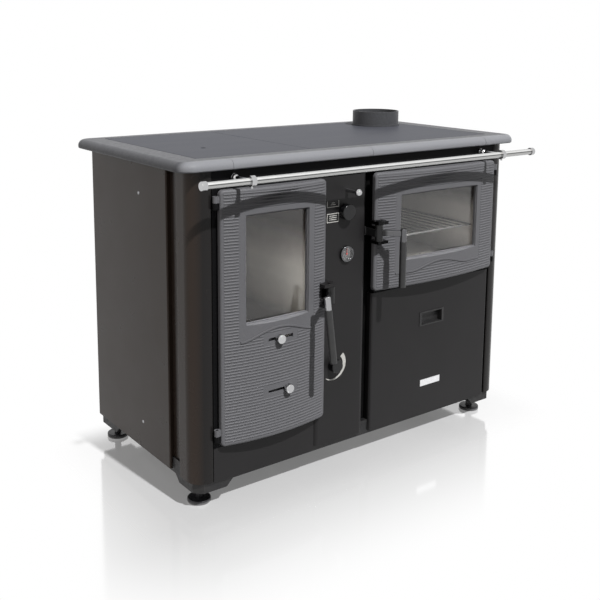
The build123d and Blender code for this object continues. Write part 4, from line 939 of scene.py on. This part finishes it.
def column_marks():
    """An open-topped box over a closed box with bars across it, as bars given by two corners."""
    left, right, line = -0.146, -0.106, 0.002
    bars = [
        (left, 0.726, right, 0.726 + line),
        (left, 0.728, left + line, 0.743),
        (right - line, 0.728, right, 0.743),
        (left + 0.012, 0.732, right - 0.012, 0.7337),
        (left + 0.015, 0.7365, right - 0.015, 0.7382),
        (left, 0.686, right, 0.686 + line),
        (left, 0.708, right, 0.708 + line),
        (left, 0.688, left + line, 0.708),
        (right - line, 0.688, right, 0.708),
    ]
    for level in (0.6925, 0.6975, 0.7025):
        bars.append((left + 0.008, level, right - 0.008, level + 0.0018))
    depth = column_face - print_depth / 2
    shape = bmesh.new()
    for x0, z0, x1, z1 in bars:
        size = Matrix.Diagonal((x1 - x0, print_depth, z1 - z0, 1.0))
        place = Matrix.Translation(((x0 + x1) / 2, depth, (z0 + z1) / 2))
        bmesh.ops.create_cube(shape, size=1.0, matrix=place @ size)
    printed_piece("column_marks", shape)


column_marks()


def draught_scale():
    """A tapering printed crescent from low on the knob's left, under it and up its right side."""
    knob_x, knob_z = -0.118, 0.298
    outer, narrowest, widest, steps = 0.043, 0.0015, 0.013, 48
    start, end = math.radians(235), math.radians(398)
    shape = bmesh.new()
    rows = []
    for k in range(steps + 1):
        share = k / steps
        angle = start + (end - start) * share
        width = narrowest + (widest - narrowest) * share
        rows.append([
            shape.verts.new((
                knob_x + radius * math.cos(angle),
                column_face - depth,
                knob_z + radius * math.sin(angle),
            ))
            for radius in (outer, outer - width)
            for depth in (0.0, print_depth)
        ])
    for a, b in zip(rows, rows[1:]):
        for i, j in ((0, 1), (1, 3), (3, 2), (2, 0)):
            shape.faces.new((a[i], a[j], b[j], b[i]))
    for row in (rows[0], rows[-1]):
        shape.faces.new((row[0], row[1], row[3], row[2]))
    bmesh.ops.recalc_face_normals(shape, faces=shape.faces)
    printed_piece("draught_scale", shape)


draught_scale()

# ---------------------------------------------------------------- drawer fittings
# A moulded black recessed pull and a blank bright badge on the drawer's enamelled front, which
# has the same finish as the column and the plinth.

badge_aluminium = brushed_steel("badge_aluminium", (0.78, 0.78, 0.8), (0.86, 0.86, 0.87), 0.34)
coat(black_plastic, "drawer_pull")
coat(badge_aluminium, "badge_plate")

# ---------------------------------------------------------------- towel rail
# A polished steel tube in two chromed brackets, closed by turned and chromed end caps. Its
# reflections are painted on as bright and dark stripes along it at fixed heights.


def tube_painted_reflections():
    """Polished tube with painted reflections: long bright and dark stripes along it at fixed
    heights, as a tube mirrors a room.
    """
    finish, shader = blank_finish("tube_painted_reflections", (0.6, 0.6, 0.6), 0.25, metallic=1.0)
    low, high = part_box("towel_rail")[0].z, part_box("towel_rail")[1].z
    # Painted reflections: bright and dark stripes up the tube's height.
    reflection_greys = (
        (0.0, 0.2), (0.2, 0.46), (0.5, 0.42), (0.57, 0.1),
        (0.64, 0.12), (0.72, 0.8), (0.88, 0.72), (1.0, 0.5),
    )
    painted_reflections = [(place, (grey, grey, grey * 0.99)) for place, grey in reflection_greys]
    striped(finish, shader, spanned(finish, along(finish, "Z"), low, high), painted_reflections)
    worn(finish, shader, cloudy(finish, 40, 3), 0.2, 0.3)
    raised(finish, shader, cloudy(finish, 200, 2, (0.05, 1.0, 1.0)), 0.00001, 0.3)
    return finish


coat(tube_painted_reflections(), "towel_rail")
coat(chrome, "rail_end_caps", "rail_brackets")
